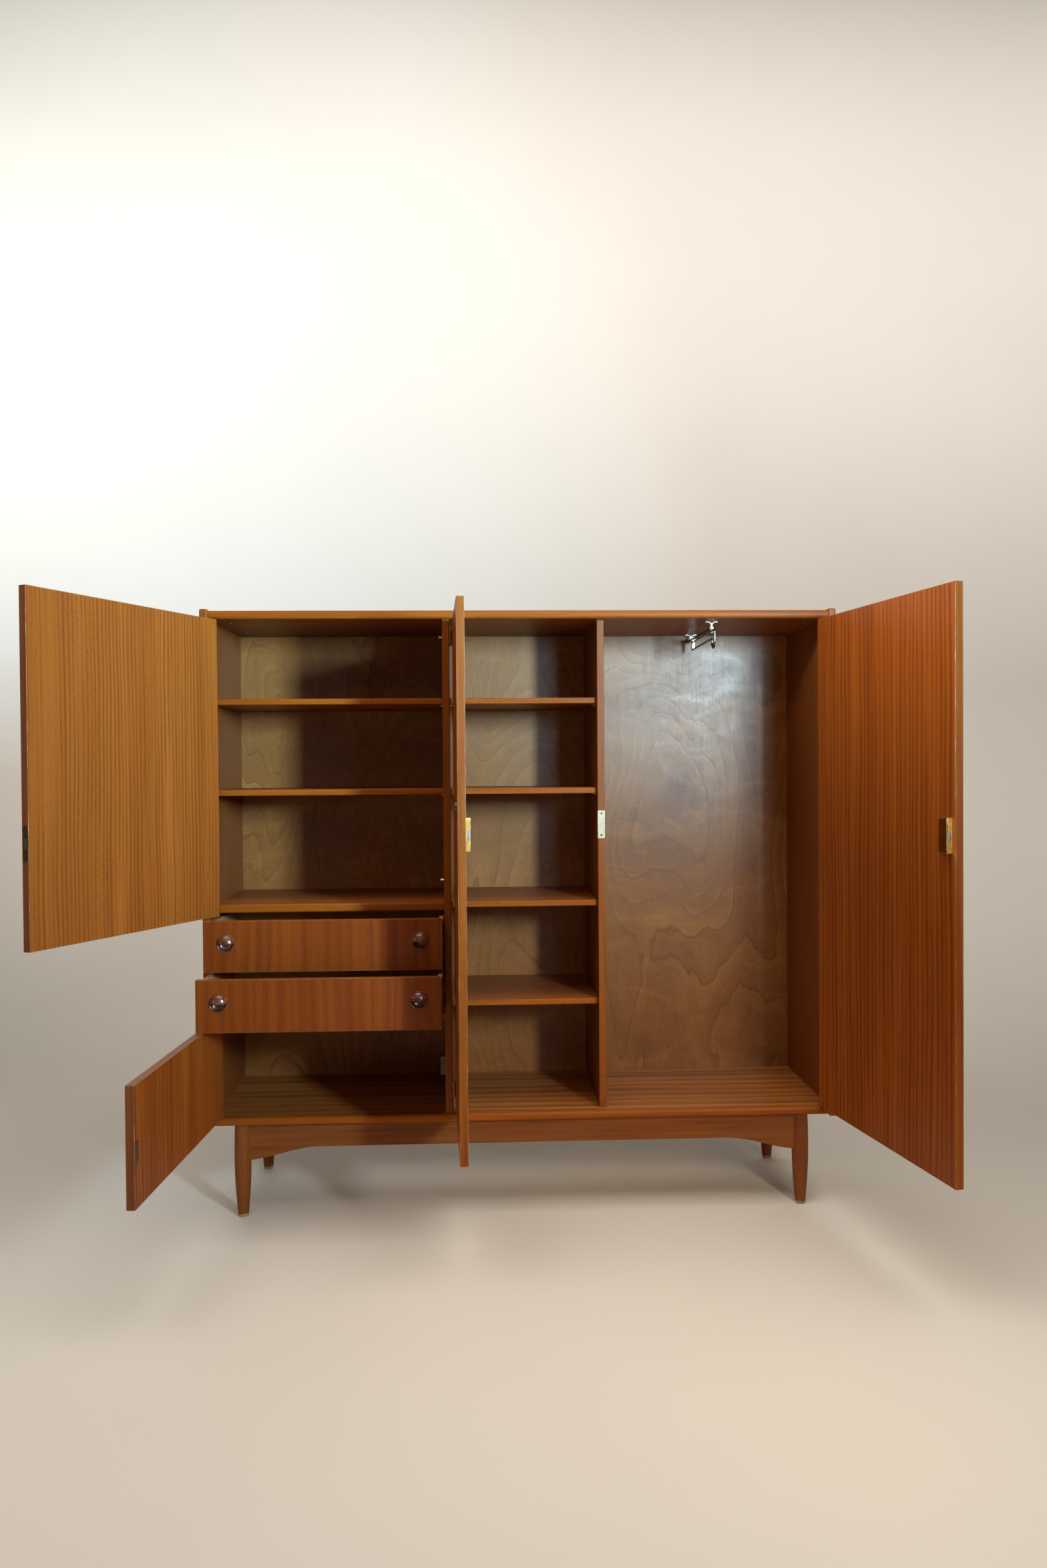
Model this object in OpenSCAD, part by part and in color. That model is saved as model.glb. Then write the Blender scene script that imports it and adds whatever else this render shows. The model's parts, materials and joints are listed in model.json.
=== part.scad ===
// Three-bay wardrobe on a turned-leg frame: hinged doors, two drawers, shelves and a valet rail.
// X runs across the front, Y from front to back, Z up.
// The origin is on the floor, centred under the carcass.

/* [Carcass] */
// Width over both sides
carcass_w = 1750; // [1700:5:1850]
// Depth of the sides
carcass_d = 440; // [430:5:480]
// Clear height between bottom and top panels
inner_h = 1364; // [1364:2:1400]
// Thickness of each side
side_t = 22; // [20:1:24]
// Thickness of the top and bottom panels
panel_t = 23; // [20:1:24]
// Thickness of each upright divider
divider_t = 20; // [18:1:22]
// How far the sides stand proud of the panels
side_lip = 4; // [2:1:6]
// Clear width of the left bay
left_bay_w = 635; // [620:1:640]
// Clear width of the middle bay
middle_bay_w = 409.5; // [400:0.5:420]
// Back panel thickness
back_t = 8; // [5:1:10]

/* [Shelves] */
// Thickness of the loose shelves
shelf_t = 16; // [15:1:18]
// Thickness of the fixed shelf above the drawers
fixed_shelf_t = 23; // [18:1:23]
// Gap at each end of a loose shelf
shelf_gap = 1; // [0.5:0.5:2]

/* [Doors] */
// Thickness of the doors
door_t = 20; // [18:1:21]
// How far the doors sit back from the panel edges
door_recess = 8; // [6:1:10]
// Gap around each door
door_gap = 2.5; // [2:0.5:3]
// Left upper door, degrees open at rest
left_upper_open = 116.1; // [0:0.1:120]
// Left lower door, degrees open at rest
left_lower_open = 93.8; // [0:0.1:120]
// Middle door, degrees open at rest
middle_open = 87.3; // [0:0.1:91]
// Right door, degrees open at rest
right_open = 100.4; // [0:0.1:120]

/* [Hinges] */
// Height of each butt hinge
hinge_h = 40; // [36:1:50]
// Radius of the hinge knuckle
knuckle_r = 3.8; // [3.4:0.1:3.9]
// Radius of the hinge pin
pin_r = 1.75; // [1.5:0.05:2]

/* [Drawers] */
// Height of each drawer front
drawer_front_h = 136.5; // [130:0.5:137]
// Thickness of the drawer fronts
drawer_front_t = 18; // [16:1:20]
// Length of the drawer sides
drawer_len = 375; // [340:5:380]
// Upper drawer, distance pulled out at rest
upper_out = 100; // [0:1:300]
// Lower drawer, distance pulled out at rest
lower_out = 187; // [0:1:300]

/* [Pulls] */
// Radius of the pull's rim
pull_r = 24; // [22:1:26]
// How far the hood stands out
hood_h = 15; // [12:1:16]

/* [Legs] */
// Height of the leg frame
leg_h = 260; // [240:5:280]
// Leg radius at the top
leg_top_r = 21; // [20:0.5:22]
// Leg radius at its widest
leg_max_r = 23; // [22:0.5:24]
// Leg radius at the foot
foot_r = 14; // [13:0.5:16]
// Depth of the front apron at mid span
apron_h = 69; // [60:1:80]

/* [Hidden] */
$fn = 48;
tiny = 0.01;

// Carcass planes
half_in = carcass_w / 2 - side_t;
panel_front = -carcass_d / 2 + side_lip;
panel_back = carcass_d / 2 - side_lip;
floor_z = leg_h + panel_t;
ceil_z = floor_z + inner_h;
side_low = leg_h - side_lip;
side_high = ceil_z + panel_t + side_lip;
back_y = panel_front + 410;
groove = 6;
left_div_x0 = -half_in + left_bay_w;
left_div_x1 = left_div_x0 + divider_t;
right_div_x0 = left_div_x1 + middle_bay_w;
right_div_x1 = right_div_x0 + divider_t;
door_front = panel_front + door_recess;
door_back = door_front + door_t;
left_div_front = door_front;
right_div_front = door_back + 3;

// Heights in the left bay
fixed_shelf_z = 841.5;
lower_door_top = 557;
drawer_floor_z = 540;
lower_front_z = lower_door_top + 3;
upper_front_z = lower_front_z + drawer_front_h + 3;
upper_door_low = upper_front_z + drawer_front_h + 2.5;
door_low = floor_z + 3;
door_high = ceil_z - 3;
loose_shelf_front = panel_front + 48;
shelf_tops = [1432, 1180];
middle_tops = [1432, 1180, 864, 587];

// Hinge geometry, in door space: x along the door from the pin, y from the pin into the wardrobe
pin_off = 4.1;
pin_y = door_front - pin_off;
door_a0 = door_gap - pin_off;
leaf_t = 1;
leaf_len = 20;
pin_clear = 0.05;
knuckle_gap = 0.3;
knuckle_h = (hinge_h - 2 * knuckle_gap) / 3;
left_pin_x = -half_in + pin_off;
middle_pin_x = left_div_x1 + pin_off;
right_pin_x = half_in - pin_off;
left_door_w = left_bay_w - 2 * door_gap;
meet_x = (right_div_x0 + right_div_x1) / 2;
middle_door_w = meet_x - 1 - left_div_x1 - door_gap;
right_door_w = half_in - door_gap - meet_x - 1;
upper_hinges = [door_low + 44, door_high - 30 - hinge_h];
left_upper_hinges = [upper_door_low + 44, door_high - 30 - hinge_h];
left_lower_hinges = [door_low + 30, lower_door_top - 30 - hinge_h];

// Locks
lock_z = 1077;
lock_h = 82;
lock_w = 36;
lock_t = 12;
lock_in = 12;
bolt_h = 22;
bolt_t = 6;
bolt_len = 24;
bolt_play = 0.3;
bolt_inset = 8;
bolt_y = 4.1;
pull_z = 1136;
pull_in = 58;
keyhole_r = 4;

// Pulls
plug_r = 21.9;
plug_h = 11;
dish_r = 19.6;
dish_h = 9;
rim_t = 1.6;
hood_wall = 2.4;

// Drawer boxes
drawer_side_t = 12;
drawer_side_h = 112;
drawer_x0 = -half_in + door_gap;
drawer_w = left_door_w;
runner_h = 14;
runner_reach = 8.5;
runner_lift = 50;
drawer_side_lift = 14;
drawer_bottom_t = 5;
joint_gap = 0.1;
pull_drop = 60;

// Leg frame
leg_x = 781;
leg_y = carcass_d / 2 - 41.5;
apron_t = 20;
apron_deep = 104;
apron_step = 215;

// Valet rail
valet_x = 544;
guide_r = 3.5;
guide_z = ceil_z - 18;
guide_y0 = panel_front + 69;
guide_y1 = panel_front + 391;
bracket_ys = [panel_front + 79, panel_front + 383];
slide_r = 3;
slide_z = guide_z - 8.5;
slide_low_z = ceil_z - 49;
slide_front = panel_front + 36;
slide_back = panel_front + 344;
hook_r = 17;
hook_low_z = ceil_z - 76;
bend_r = 6;

teak = [0.55, 0.30, 0.12];
teak_dark = [0.38, 0.17, 0.08];
plywood = [0.55, 0.45, 0.28];
pale_wood = [0.75, 0.58, 0.36];
rosewood = [0.22, 0.07, 0.05];
brass = [0.75, 0.6, 0.25];
steel = [0.55, 0.56, 0.58];
dark_steel = [0.2, 0.19, 0.18];
zinc = [0.8, 0.8, 0.78];

// A rectangle with round corners, made of true arcs
module round_rect(w, h, r) {
    translate([r, 0]) square([w - 2 * r, h]);
    translate([0, r]) square([w, h - 2 * r]);
    for (x = [r, w - r], y = [r, h - r]) translate([x, y]) circle(r);
}

// A board whose long front arrises are rounded: profile in Y and Z, run along X
module edge_board(x0, x1, y0, y1, z0, z1, r) {
    translate([x0, 0, 0]) rotate([90, 0, 90]) linear_extrude(x1 - x0) {
        translate([y0, z0]) round_rect(y1 - y0, z1 - z0, r);
        translate([y1 - 2 * r, z0]) square([2 * r, z1 - z0]);
    }
}

// An upright whose front arrises are rounded: profile in X and Y, run up Z
module upright(x0, x1, y0, y1, z0, z1, r) {
    translate([0, 0, z0]) linear_extrude(z1 - z0) {
        translate([x0, y0]) round_rect(x1 - x0, y1 - y0, r);
        translate([x0, y1 - 2 * r]) square([x1 - x0, 2 * r]);
    }
}

// ---- Carcass panels ----
module back_board() {
    translate([-half_in - groove, back_y, floor_z - groove])
        cube([2 * (half_in + groove), back_t, inner_h + 2 * groove]);
}

// Cap over a knock-down fitting, and the bore that takes it
module at_fittings() {
    for (x = [-1, 1] * (half_in - 38), y = [panel_front + 97, panel_front + 321])
        translate([x, y, ceil_z]) children();
}

module side_panel() {
    intersection() {
        upright(-carcass_w / 2, -half_in, -carcass_d / 2, carcass_d / 2, side_low, side_high, 5);
        translate([-carcass_w / 2, 0, 0]) rotate([90, 0, 90]) linear_extrude(side_t)
            translate([-carcass_d / 2, side_low]) round_rect(carcass_d, side_high - side_low, 7);
        translate([0, carcass_d / 2, 0]) rotate([90, 0, 0]) linear_extrude(carcass_d)
            translate([-carcass_w / 2, side_low]) round_rect(side_t, side_high - side_low, 5);
    }
}

// Holes for the shelf pins that the wall at x needs, drilled towards dir
pin_hole_r = 2.5;
pin_depth = 9;
pin_ys = [panel_front + 85, panel_front + 350];
module shelf_pin_holes(x, dir, tops) {
    for (top = tops, y = pin_ys)
        translate([x, y, top - shelf_t - pin_hole_r]) rotate([0, 90 * dir, 0])
            translate([0, 0, -tiny]) cylinder(r = pin_hole_r, h = pin_depth + tiny);
}

module left_side() {
    color(teak) difference() {
        side_panel();
        back_board();
        shelf_pin_holes(-half_in, -1, shelf_tops);
    }
}

module right_side() {
    color(teak) difference() {
        mirror([1, 0, 0]) side_panel();
        back_board();
    }
}

module top_panel() {
    color(teak) difference() {
        edge_board(-half_in, half_in, panel_front, panel_back, ceil_z, ceil_z + panel_t, 8);
        back_board();
        at_fittings() translate([0, 0, -tiny]) cylinder(r = 10, h = 12 + tiny);
    }
}

module bottom_panel() {
    color(teak) difference() {
        edge_board(-half_in, half_in, panel_front, panel_back, leg_h, floor_z, 8);
        back_board();
    }
}

module bolt_pocket(x0, x1, y0, y1) {
    translate([x0, y0, lock_z - bolt_h / 2 - 1]) cube([x1 - x0, y1 - y0, bolt_h + 2]);
}

module left_divider() {
    color(teak) difference() {
        upright(left_div_x0, left_div_x1, left_div_front, back_y, floor_z, ceil_z, 3);
        shelf_pin_holes(left_div_x0, 1, shelf_tops);
        shelf_pin_holes(left_div_x1, -1, middle_tops);
        bolt_pocket(left_div_x0 - 1, left_div_x0 + bolt_inset, door_front + 6, door_front + 14);
    }
}

module right_divider() {
    color(teak) difference() {
        upright(right_div_x0, right_div_x1, right_div_front, back_y, floor_z, ceil_z, 2);
        shelf_pin_holes(right_div_x0, 1, middle_tops);
        bolt_pocket(right_div_x0 - 1, right_div_x0 + bolt_inset, door_back + 4, door_back + 12);
        bolt_pocket(right_div_x1 - bolt_inset, right_div_x1 + 1, door_back + 4, door_back + 12);
        strike_blank();
    }
}

module back_panel() {
    color(plywood) back_board();
}

module fixed_shelf() {
    color(teak)
        edge_board(-half_in, left_div_x0, door_back + 2, back_y,
            fixed_shelf_z, fixed_shelf_z + fixed_shelf_t, 4);
}

module drawer_floor() {
    color(teak)
        edge_board(-half_in, left_div_x0, door_back + 2, back_y,
            drawer_floor_z, drawer_floor_z + shelf_t, 3);
}

// ---- Loose shelves ----
module loose_shelf(x0, x1, top) {
    color(teak) edge_board(x0 + shelf_gap, x1 - shelf_gap, loose_shelf_front, back_y - 2,
        top - shelf_t, top, 2);
}

module left_shelf_upper() {
    loose_shelf(-half_in, left_div_x0, shelf_tops[0]);
}

module left_shelf_lower() {
    loose_shelf(-half_in, left_div_x0, shelf_tops[1]);
}

module middle_shelf(i) {
    loose_shelf(left_div_x1, right_div_x0, middle_tops[i]);
}

module shelf_pin(x, dir, top) {
    for (y = pin_ys) translate([x, y, top - shelf_t - pin_hole_r]) rotate([0, 90 * dir, 0]) {
        translate([0, 0, -7]) cylinder(r = 2.4, h = 15);
        translate([0, 0, -1.2]) cylinder(r = pin_hole_r, h = 1.2);
    }
}

module shelf_pins() {
    color(brass) {
        for (top = shelf_tops) {
            shelf_pin(-half_in, -1, top);
            shelf_pin(left_div_x0, 1, top);
        }
        for (top = middle_tops) {
            shelf_pin(left_div_x1, -1, top);
            shelf_pin(right_div_x0, 1, top);
        }
    }
}

// ---- Small carcass fittings ----
module panel_fitting_caps() {
    color(teak_dark) at_fittings() {
        translate([0, 0, -3]) cylinder(r1 = 11, r2 = 13, h = 3);
        cylinder(r = 9.9, h = 10);
    }
}

module door_stops() {
    color(brass) for (z = [door_high - 45, upper_door_low + 88])
        translate([left_div_x0 - 9, door_back + 4.4, z]) rotate([0, 90, 0]) {
            cylinder(r = 3, h = 9);
            cylinder(r = 4, h = 2);
        }
}

catch_z = 409;
module magnet_catch() {
    color(zinc) translate([left_div_x0 - 14, door_back + 1.7, catch_z - 25]) difference() {
        cube([14, 15, 50]);
        translate([3, -tiny, 16]) cube([8, 3, 3]);
        translate([3, -tiny, 31]) cube([8, 3, 3]);
    }
}

// Zinc strike wrapped over the divider's front edge, with two countersunk screw holes
strike_h = 78;
module strike_blank() {
    translate([right_div_x0 - tiny, right_div_front - tiny, lock_z - strike_h / 2])
        cube([divider_t + 2 * tiny, 1 + tiny, strike_h]);
}

module strike_plate() {
    color(zinc) difference() {
        translate([right_div_x0, right_div_front - 0.5, lock_z - strike_h / 2])
            cube([divider_t, 1.5, strike_h]);
        for (z = [-1, 1] * (strike_h / 2 - 9)) translate([meet_x, right_div_front, lock_z + z]) {
            rotate([90, 0, 0]) translate([0, 0, -2]) cylinder(r = 2, h = 3);
            rotate([90, 0, 0]) translate([0, 0, -0.5]) cylinder(r1 = 2, r2 = 3.5, h = 1 + tiny);
        }
    }
}

module drawer_runner(x, front_z) {
    translate([x, door_back + 8, front_z + runner_lift]) cube([runner_reach, drawer_len - 20, runner_h]);
}

module drawer_runners() {
    color(pale_wood) for (z = [lower_front_z, upper_front_z]) {
        drawer_runner(-half_in, z);
        drawer_runner(left_div_x0 - runner_reach, z);
    }
}

// ---- Leg frame ----
// Leg radius at height t, from 0 at the foot to 1 at the top
function leg_r(t) = t > 0.62
    ? leg_top_r + (leg_max_r - leg_top_r) * cos(90 * (t - 0.62) / 0.38)
    : foot_r + (leg_max_r - foot_r) * sin(90 * t / 0.62);

module leg(x, y) {
    translate([x, y, 0]) rotate_extrude() polygon(concat(
        [[0, 0], [foot_r - 1.5, 0]],
        [for (i = [0:20]) [leg_r(i / 20), i == 0 ? 1.5 : leg_h * i / 20]],
        [[0, leg_h]]
    ));
}

module leg_front_left() { color(teak_dark) leg(-leg_x, -leg_y); }
module leg_front_right() { color(teak_dark) leg(leg_x, -leg_y); }
module leg_rear_left() { color(teak_dark) leg(-leg_x, leg_y); }
module leg_rear_right() { color(teak_dark) leg(leg_x, leg_y); }

// Apron outline: shallow in the middle, deeper at the legs, joined by an S curve
function apron_drop(s, step) = s >= step ? apron_h
    : apron_deep - (apron_deep - apron_h) * (1 - cos(180 * s / step)) / 2;

module apron_outline(half, step) {
    n = 12;
    polygon(concat(
        [[-half, leg_h], [half, leg_h]],
        [for (i = [0:n]) [half - step * i / n, leg_h - apron_drop(step * i / n, step)]],
        [for (i = [n:-1:0]) [step * i / n - half, leg_h - apron_drop(step * i / n, step)]]
    ));
}

module long_apron(y) {
    color(teak_dark) difference() {
        translate([0, y + apron_t / 2, 0]) rotate([90, 0, 0]) linear_extrude(apron_t)
            apron_outline(leg_x, apron_step);
        for (x = [-leg_x, leg_x]) leg(x, y);
    }
}

module front_apron() { long_apron(-leg_y); }
module rear_apron() { long_apron(leg_y); }

module side_aprons() {
    color(teak_dark) for (x = [-leg_x, leg_x]) difference() {
        translate([x - apron_t / 2, 0, 0]) rotate([90, 0, 90]) linear_extrude(apron_t)
            apron_outline(leg_y, 110);
        for (y = [-leg_y, leg_y]) leg(x, y);
    }
}

// Glue blocks that brace each corner of the frame
module corner_blocks() {
    in = apron_t / 2;
    color(pale_wood) for (sx = [0, 1], sy = [0, 1]) mirror([sx, 0, 0]) mirror([0, sy, 0])
        translate([-leg_x, -leg_y, leg_h - 45]) linear_extrude(45)
            polygon([[26, in], [78, in], [in, 78], [in, 26]]);
}

// ---- Butt hinges, in door space ----
module knuckle(z0, h) {
    translate([0, 0, z0]) difference() {
        cylinder(r = knuckle_r, h = h);
        translate([0, 0, -1]) cylinder(r = pin_r + pin_clear, h = h + 2);
    }
}

module pin_room(h) {
    translate([0, 0, -1]) cylinder(r = pin_r + pin_clear, h = h + 2);
}

// Leaf screwed to the carcass, with the two outer knuckles
module carcass_leaf() {
    difference() {
        union() {
            translate([-pin_off, 0, 0]) cube([leaf_t, leaf_len, hinge_h]);
            for (z = [0, hinge_h - knuckle_h]) knuckle(z, knuckle_h);
        }
        translate([-pin_off - 1, -1, knuckle_h]) cube([pin_off + 5, 9.4, knuckle_h + 2 * knuckle_gap]);
        pin_room(hinge_h);
    }
}

// Leaf screwed to the door's edge, with the middle knuckle
module door_leaf() {
    clear = knuckle_h + knuckle_gap;
    difference() {
        union() {
            translate([door_a0 - leaf_t, 0, 0]) cube([leaf_t, leaf_len, hinge_h]);
            knuckle(clear, knuckle_h);
        }
        for (z = [-1, hinge_h - clear])
            translate([door_a0 - leaf_t - 1, -1, z]) cube([8, 9.4, clear + 1]);
        pin_room(hinge_h);
    }
}

module hinge_pin() {
    cylinder(r = pin_r, h = hinge_h);
    for (z = [-1.6, hinge_h]) translate([0, 0, z]) cylinder(r = 2.6, h = 1.6);
}

// Door space of a door hinged on its left or right, turned open by an angle
module left_hung(x, open) {
    translate([x, pin_y, 0]) rotate([0, 0, -open]) children();
}

module right_hung(x, open) {
    translate([x, pin_y, 0]) rotate([0, 0, open]) mirror([1, 0, 0]) children();
}

module at_heights(zs) {
    for (z = zs) translate([0, 0, z]) children();
}

module at_all_hinges() {
    left_hung(left_pin_x, 0) at_heights(concat(left_upper_hinges, left_lower_hinges)) children();
    left_hung(middle_pin_x, 0) at_heights(upper_hinges) children();
    right_hung(right_pin_x, 0) at_heights(upper_hinges) children();
}

module carcass_hinge_leaves() {
    color(brass) at_all_hinges() carcass_leaf();
}

module hinge_pins() {
    color(brass) at_all_hinges() hinge_pin();
}

// ---- Pulls: a turned cup let into the front, its upper half hooded ----
// Pull space: z is up, the face is the plane y = 0 and the room in front of it is at -y
module turned(points) {
    rotate([90, 0, 0]) rotate_extrude() polygon(points);
}

function arc_points(r, h, n) = [for (i = [0:n]) [r * cos(90 * i / n), h * sin(90 * i / n)]];

module pull() {
    difference() {
        union() {
            rotate([90, 0, 0]) cylinder(r = pull_r, h = rim_t);
            rotate([-90, 0, 0]) cylinder(r = plug_r, h = plug_h);
            intersection() {
                turned(concat([[0, 0]], arc_points(pull_r - 0.5, hood_h, 10)));
                translate([-pull_r, -hood_h - 1, 0]) cube([2 * pull_r, hood_h + 1, pull_r]);
            }
        }
        mirror([0, 1, 0]) turned(concat([[0, -3], [dish_r, -3]], arc_points(dish_r, dish_h, 10)));
        difference() {
            turned(concat([[0, -tiny]], arc_points(dish_r, hood_h - hood_wall, 10)));
            translate([-pull_r, -hood_h, dish_r - 4]) cube([2 * pull_r, hood_h, 5]);
        }
    }
}

module pull_seat() {
    rotate([-90, 0, 0]) translate([0, 0, -1]) cylinder(r = plug_r + 0.1, h = plug_h + 1.1);
}

// ---- Doors, in door space ----
module door_board(w, z0, z1) {
    translate([door_a0, pin_off, z0]) translate([0, door_t, 0]) rotate([90, 0, 0])
        linear_extrude(door_t) square([w, z1 - z0]);
}

module at_door_pull(w, z) {
    translate([door_a0 + w - pull_in, pin_off, z]) children();
}

module keyhole(w) {
    translate([door_a0 + w - lock_in - lock_w / 2, pin_off - 1, lock_z])
        rotate([-90, 0, 0]) cylinder(r = keyhole_r, h = door_t + 6);
}

// Rim lock on the inner face: a box, its raised cover and the bolt's slot
module rim_lock(w) {
    x1 = door_a0 + w - lock_in;
    face = pin_off + door_t;
    difference() {
        union() {
            translate([x1 - lock_w, face, lock_z - lock_h / 2]) rotate([-90, 0, 0]) mirror([0, 1, 0])
                linear_extrude(lock_t - 1) round_rect(lock_w, lock_h, 3);
            translate([x1 - lock_w + 3, face, lock_z - lock_h / 2 + 3])
                rotate([-90, 0, 0]) mirror([0, 1, 0])
                linear_extrude(lock_t) round_rect(lock_w - 6, lock_h - 6, 2);
        }
        translate([x1 - bolt_len - 5, face + bolt_y, lock_z - bolt_h / 2 - bolt_play])
            cube([bolt_len + 6, bolt_t + 2 * bolt_play, bolt_h + 2 * bolt_play]);
        keyhole(w);
    }
}

module rim_bolt(w) {
    x1 = door_a0 + w - lock_in;
    translate([x1 - bolt_len, pin_off + door_t + bolt_y + bolt_play, lock_z - bolt_h / 2])
        cube([bolt_len, bolt_t, bolt_h]);
}

// Mortise lock inside the left upper door, with its face plate in the free edge
case_w = 44;
case_t = 11;
plate_t = 2;
plate_w = 14;
mid_y = pin_off + door_t / 2;
module mortise_body(w, play) {
    x1 = door_a0 + w;
    translate([x1 - case_w - play, mid_y - case_t / 2 - play, lock_z - 35 - play])
        cube([case_w + play, case_t + 2 * play, 70 + 2 * play]);
    translate([x1 - plate_t, mid_y - plate_w / 2, lock_z - lock_h / 2]) rotate([90, 0, 90])
        linear_extrude(plate_t + (play > 0 ? 1 : 0)) round_rect(plate_w, lock_h, plate_w / 2 - tiny);
}

module mortise_bolt(w, play) {
    x1 = door_a0 + w;
    translate([x1 - bolt_len - play, mid_y - bolt_t / 2 - play, lock_z - bolt_h / 2 - play])
        cube([bolt_len + (play > 0 ? 1 + play : 0), bolt_t + 2 * play, bolt_h + 2 * play]);
}

module left_upper_door() {
    color(teak) left_hung(left_pin_x, left_upper_open) difference() {
        door_board(left_door_w, upper_door_low, door_high);
        at_door_pull(left_door_w, pull_z) pull_seat();
        mortise_body(left_door_w, 0.2);
        translate([door_a0 + left_door_w - 30, pin_off - 1, lock_z])
            rotate([-90, 0, 0]) cylinder(r = keyhole_r, h = 8);
    }
}

module left_upper_door_leaves() {
    color(brass) left_hung(left_pin_x, left_upper_open) at_heights(left_upper_hinges) door_leaf();
}

module left_upper_door_pull() {
    color(rosewood) left_hung(left_pin_x, left_upper_open) at_door_pull(left_door_w, pull_z) pull();
}

module left_upper_lock() {
    color(brass) left_hung(left_pin_x, left_upper_open) difference() {
        mortise_body(left_door_w, 0);
        mortise_bolt(left_door_w, bolt_play);
    }
}

module left_upper_lock_bolt() {
    color(steel) left_hung(left_pin_x, left_upper_open) mortise_bolt(left_door_w, 0);
}

module left_lower_door() {
    color(teak) left_hung(left_pin_x, left_lower_open) difference() {
        door_board(left_door_w, door_low, lower_door_top);
        at_door_pull(left_door_w, lower_door_top - pull_drop) pull_seat();
    }
}

module left_lower_door_leaves() {
    color(brass) left_hung(left_pin_x, left_lower_open) at_heights(left_lower_hinges) door_leaf();
}

module left_lower_door_pull() {
    color(rosewood) left_hung(left_pin_x, left_lower_open)
        at_door_pull(left_door_w, lower_door_top - pull_drop) pull();
}

module catch_plate() {
    color(zinc) left_hung(left_pin_x, left_lower_open)
        translate([door_a0 + left_door_w - 19, pin_off + door_t, catch_z - 25]) cube([14, 1.2, 50]);
}

module middle_door() {
    color(teak) left_hung(middle_pin_x, middle_open) difference() {
        door_board(middle_door_w, door_low, door_high);
        at_door_pull(middle_door_w, pull_z) pull_seat();
        keyhole(middle_door_w);
    }
}

module middle_door_leaves() {
    color(brass) left_hung(middle_pin_x, middle_open) at_heights(upper_hinges) door_leaf();
}

module middle_door_pull() {
    color(rosewood) left_hung(middle_pin_x, middle_open) at_door_pull(middle_door_w, pull_z) pull();
}

module middle_lock() {
    color(brass) left_hung(middle_pin_x, middle_open) rim_lock(middle_door_w);
}

module middle_lock_bolt() {
    color(steel) left_hung(middle_pin_x, middle_open) rim_bolt(middle_door_w);
}

module right_door() {
    color(teak) right_hung(right_pin_x, right_open) difference() {
        door_board(right_door_w, door_low, door_high);
        at_door_pull(right_door_w, pull_z) pull_seat();
        keyhole(right_door_w);
    }
}

module right_door_leaves() {
    color(brass) right_hung(right_pin_x, right_open) at_heights(upper_hinges) door_leaf();
}

module right_door_pull() {
    color(rosewood) right_hung(right_pin_x, right_open) at_door_pull(right_door_w, pull_z) pull();
}

module right_lock() {
    color(brass) right_hung(right_pin_x, right_open) rim_lock(right_door_w);
}

module right_lock_bolt() {
    color(steel) right_hung(right_pin_x, right_open) rim_bolt(right_door_w);
}

// ---- Drawers ----
// Drawer space: x from the front's left end, y from its face, z from its lower edge
module drawer_space(z, out) {
    translate([drawer_x0, door_front - out, z]) children();
}

module at_drawer_pulls() {
    for (x = [pull_in, drawer_w - pull_in]) translate([x, 0, drawer_front_h - pull_drop]) children();
}

module drawer_front() {
    difference() {
        cube([drawer_w, drawer_front_t, drawer_front_h]);
        at_drawer_pulls() pull_seat();
    }
}

module drawer_side() {
    difference() {
        cube([drawer_side_t, drawer_len, drawer_side_h]);
        translate([-1, -1, runner_lift - drawer_side_lift - 0.4])
            cube([8, drawer_len + 2, runner_h + 0.8]);
    }
}

module drawer_box() {
    translate([0, drawer_front_t, drawer_side_lift]) {
        drawer_side();
        translate([drawer_w, 0, 0]) mirror([1, 0, 0]) drawer_side();
        translate([drawer_side_t + joint_gap, drawer_len - 12, 10])
            cube([drawer_w - 2 * (drawer_side_t + joint_gap), 12, drawer_side_h - 16]);
    }
}

module drawer_bottom() {
    translate([drawer_side_t, drawer_front_t, drawer_side_lift + 5])
        cube([drawer_w - 2 * drawer_side_t, drawer_len, drawer_bottom_t]);
}

module upper_drawer_front() { color(teak) drawer_space(upper_front_z, upper_out) drawer_front(); }
module upper_drawer_box() { color(pale_wood) drawer_space(upper_front_z, upper_out) drawer_box(); }
module upper_drawer_bottom() { color(plywood) drawer_space(upper_front_z, upper_out) drawer_bottom(); }
module upper_drawer_pulls() {
    color(rosewood) drawer_space(upper_front_z, upper_out) at_drawer_pulls() pull();
}

module lower_drawer_front() { color(teak) drawer_space(lower_front_z, lower_out) drawer_front(); }
module lower_drawer_box() { color(pale_wood) drawer_space(lower_front_z, lower_out) drawer_box(); }
module lower_drawer_bottom() { color(plywood) drawer_space(lower_front_z, lower_out) drawer_bottom(); }
module lower_drawer_pulls() {
    color(rosewood) drawer_space(lower_front_z, lower_out) at_drawer_pulls() pull();
}

// ---- Valet rail ----
// A rod along Y, and a bend of the rod in the Y-Z plane
module rod(r, y0, y1, z) {
    translate([valet_x, y0, z]) rotate([-90, 0, 0]) cylinder(r = r, h = y1 - y0);
}

module post(r, y, z0, z1) {
    translate([valet_x, y, z0]) cylinder(r = r, h = z1 - z0);
}

module bend(y, z, r, start, sweep) {
    translate([valet_x, y, z]) rotate([90, 0, 90]) rotate([0, 0, start])
        rotate_extrude(angle = sweep) translate([r, 0]) circle(slide_r);
}

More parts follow.
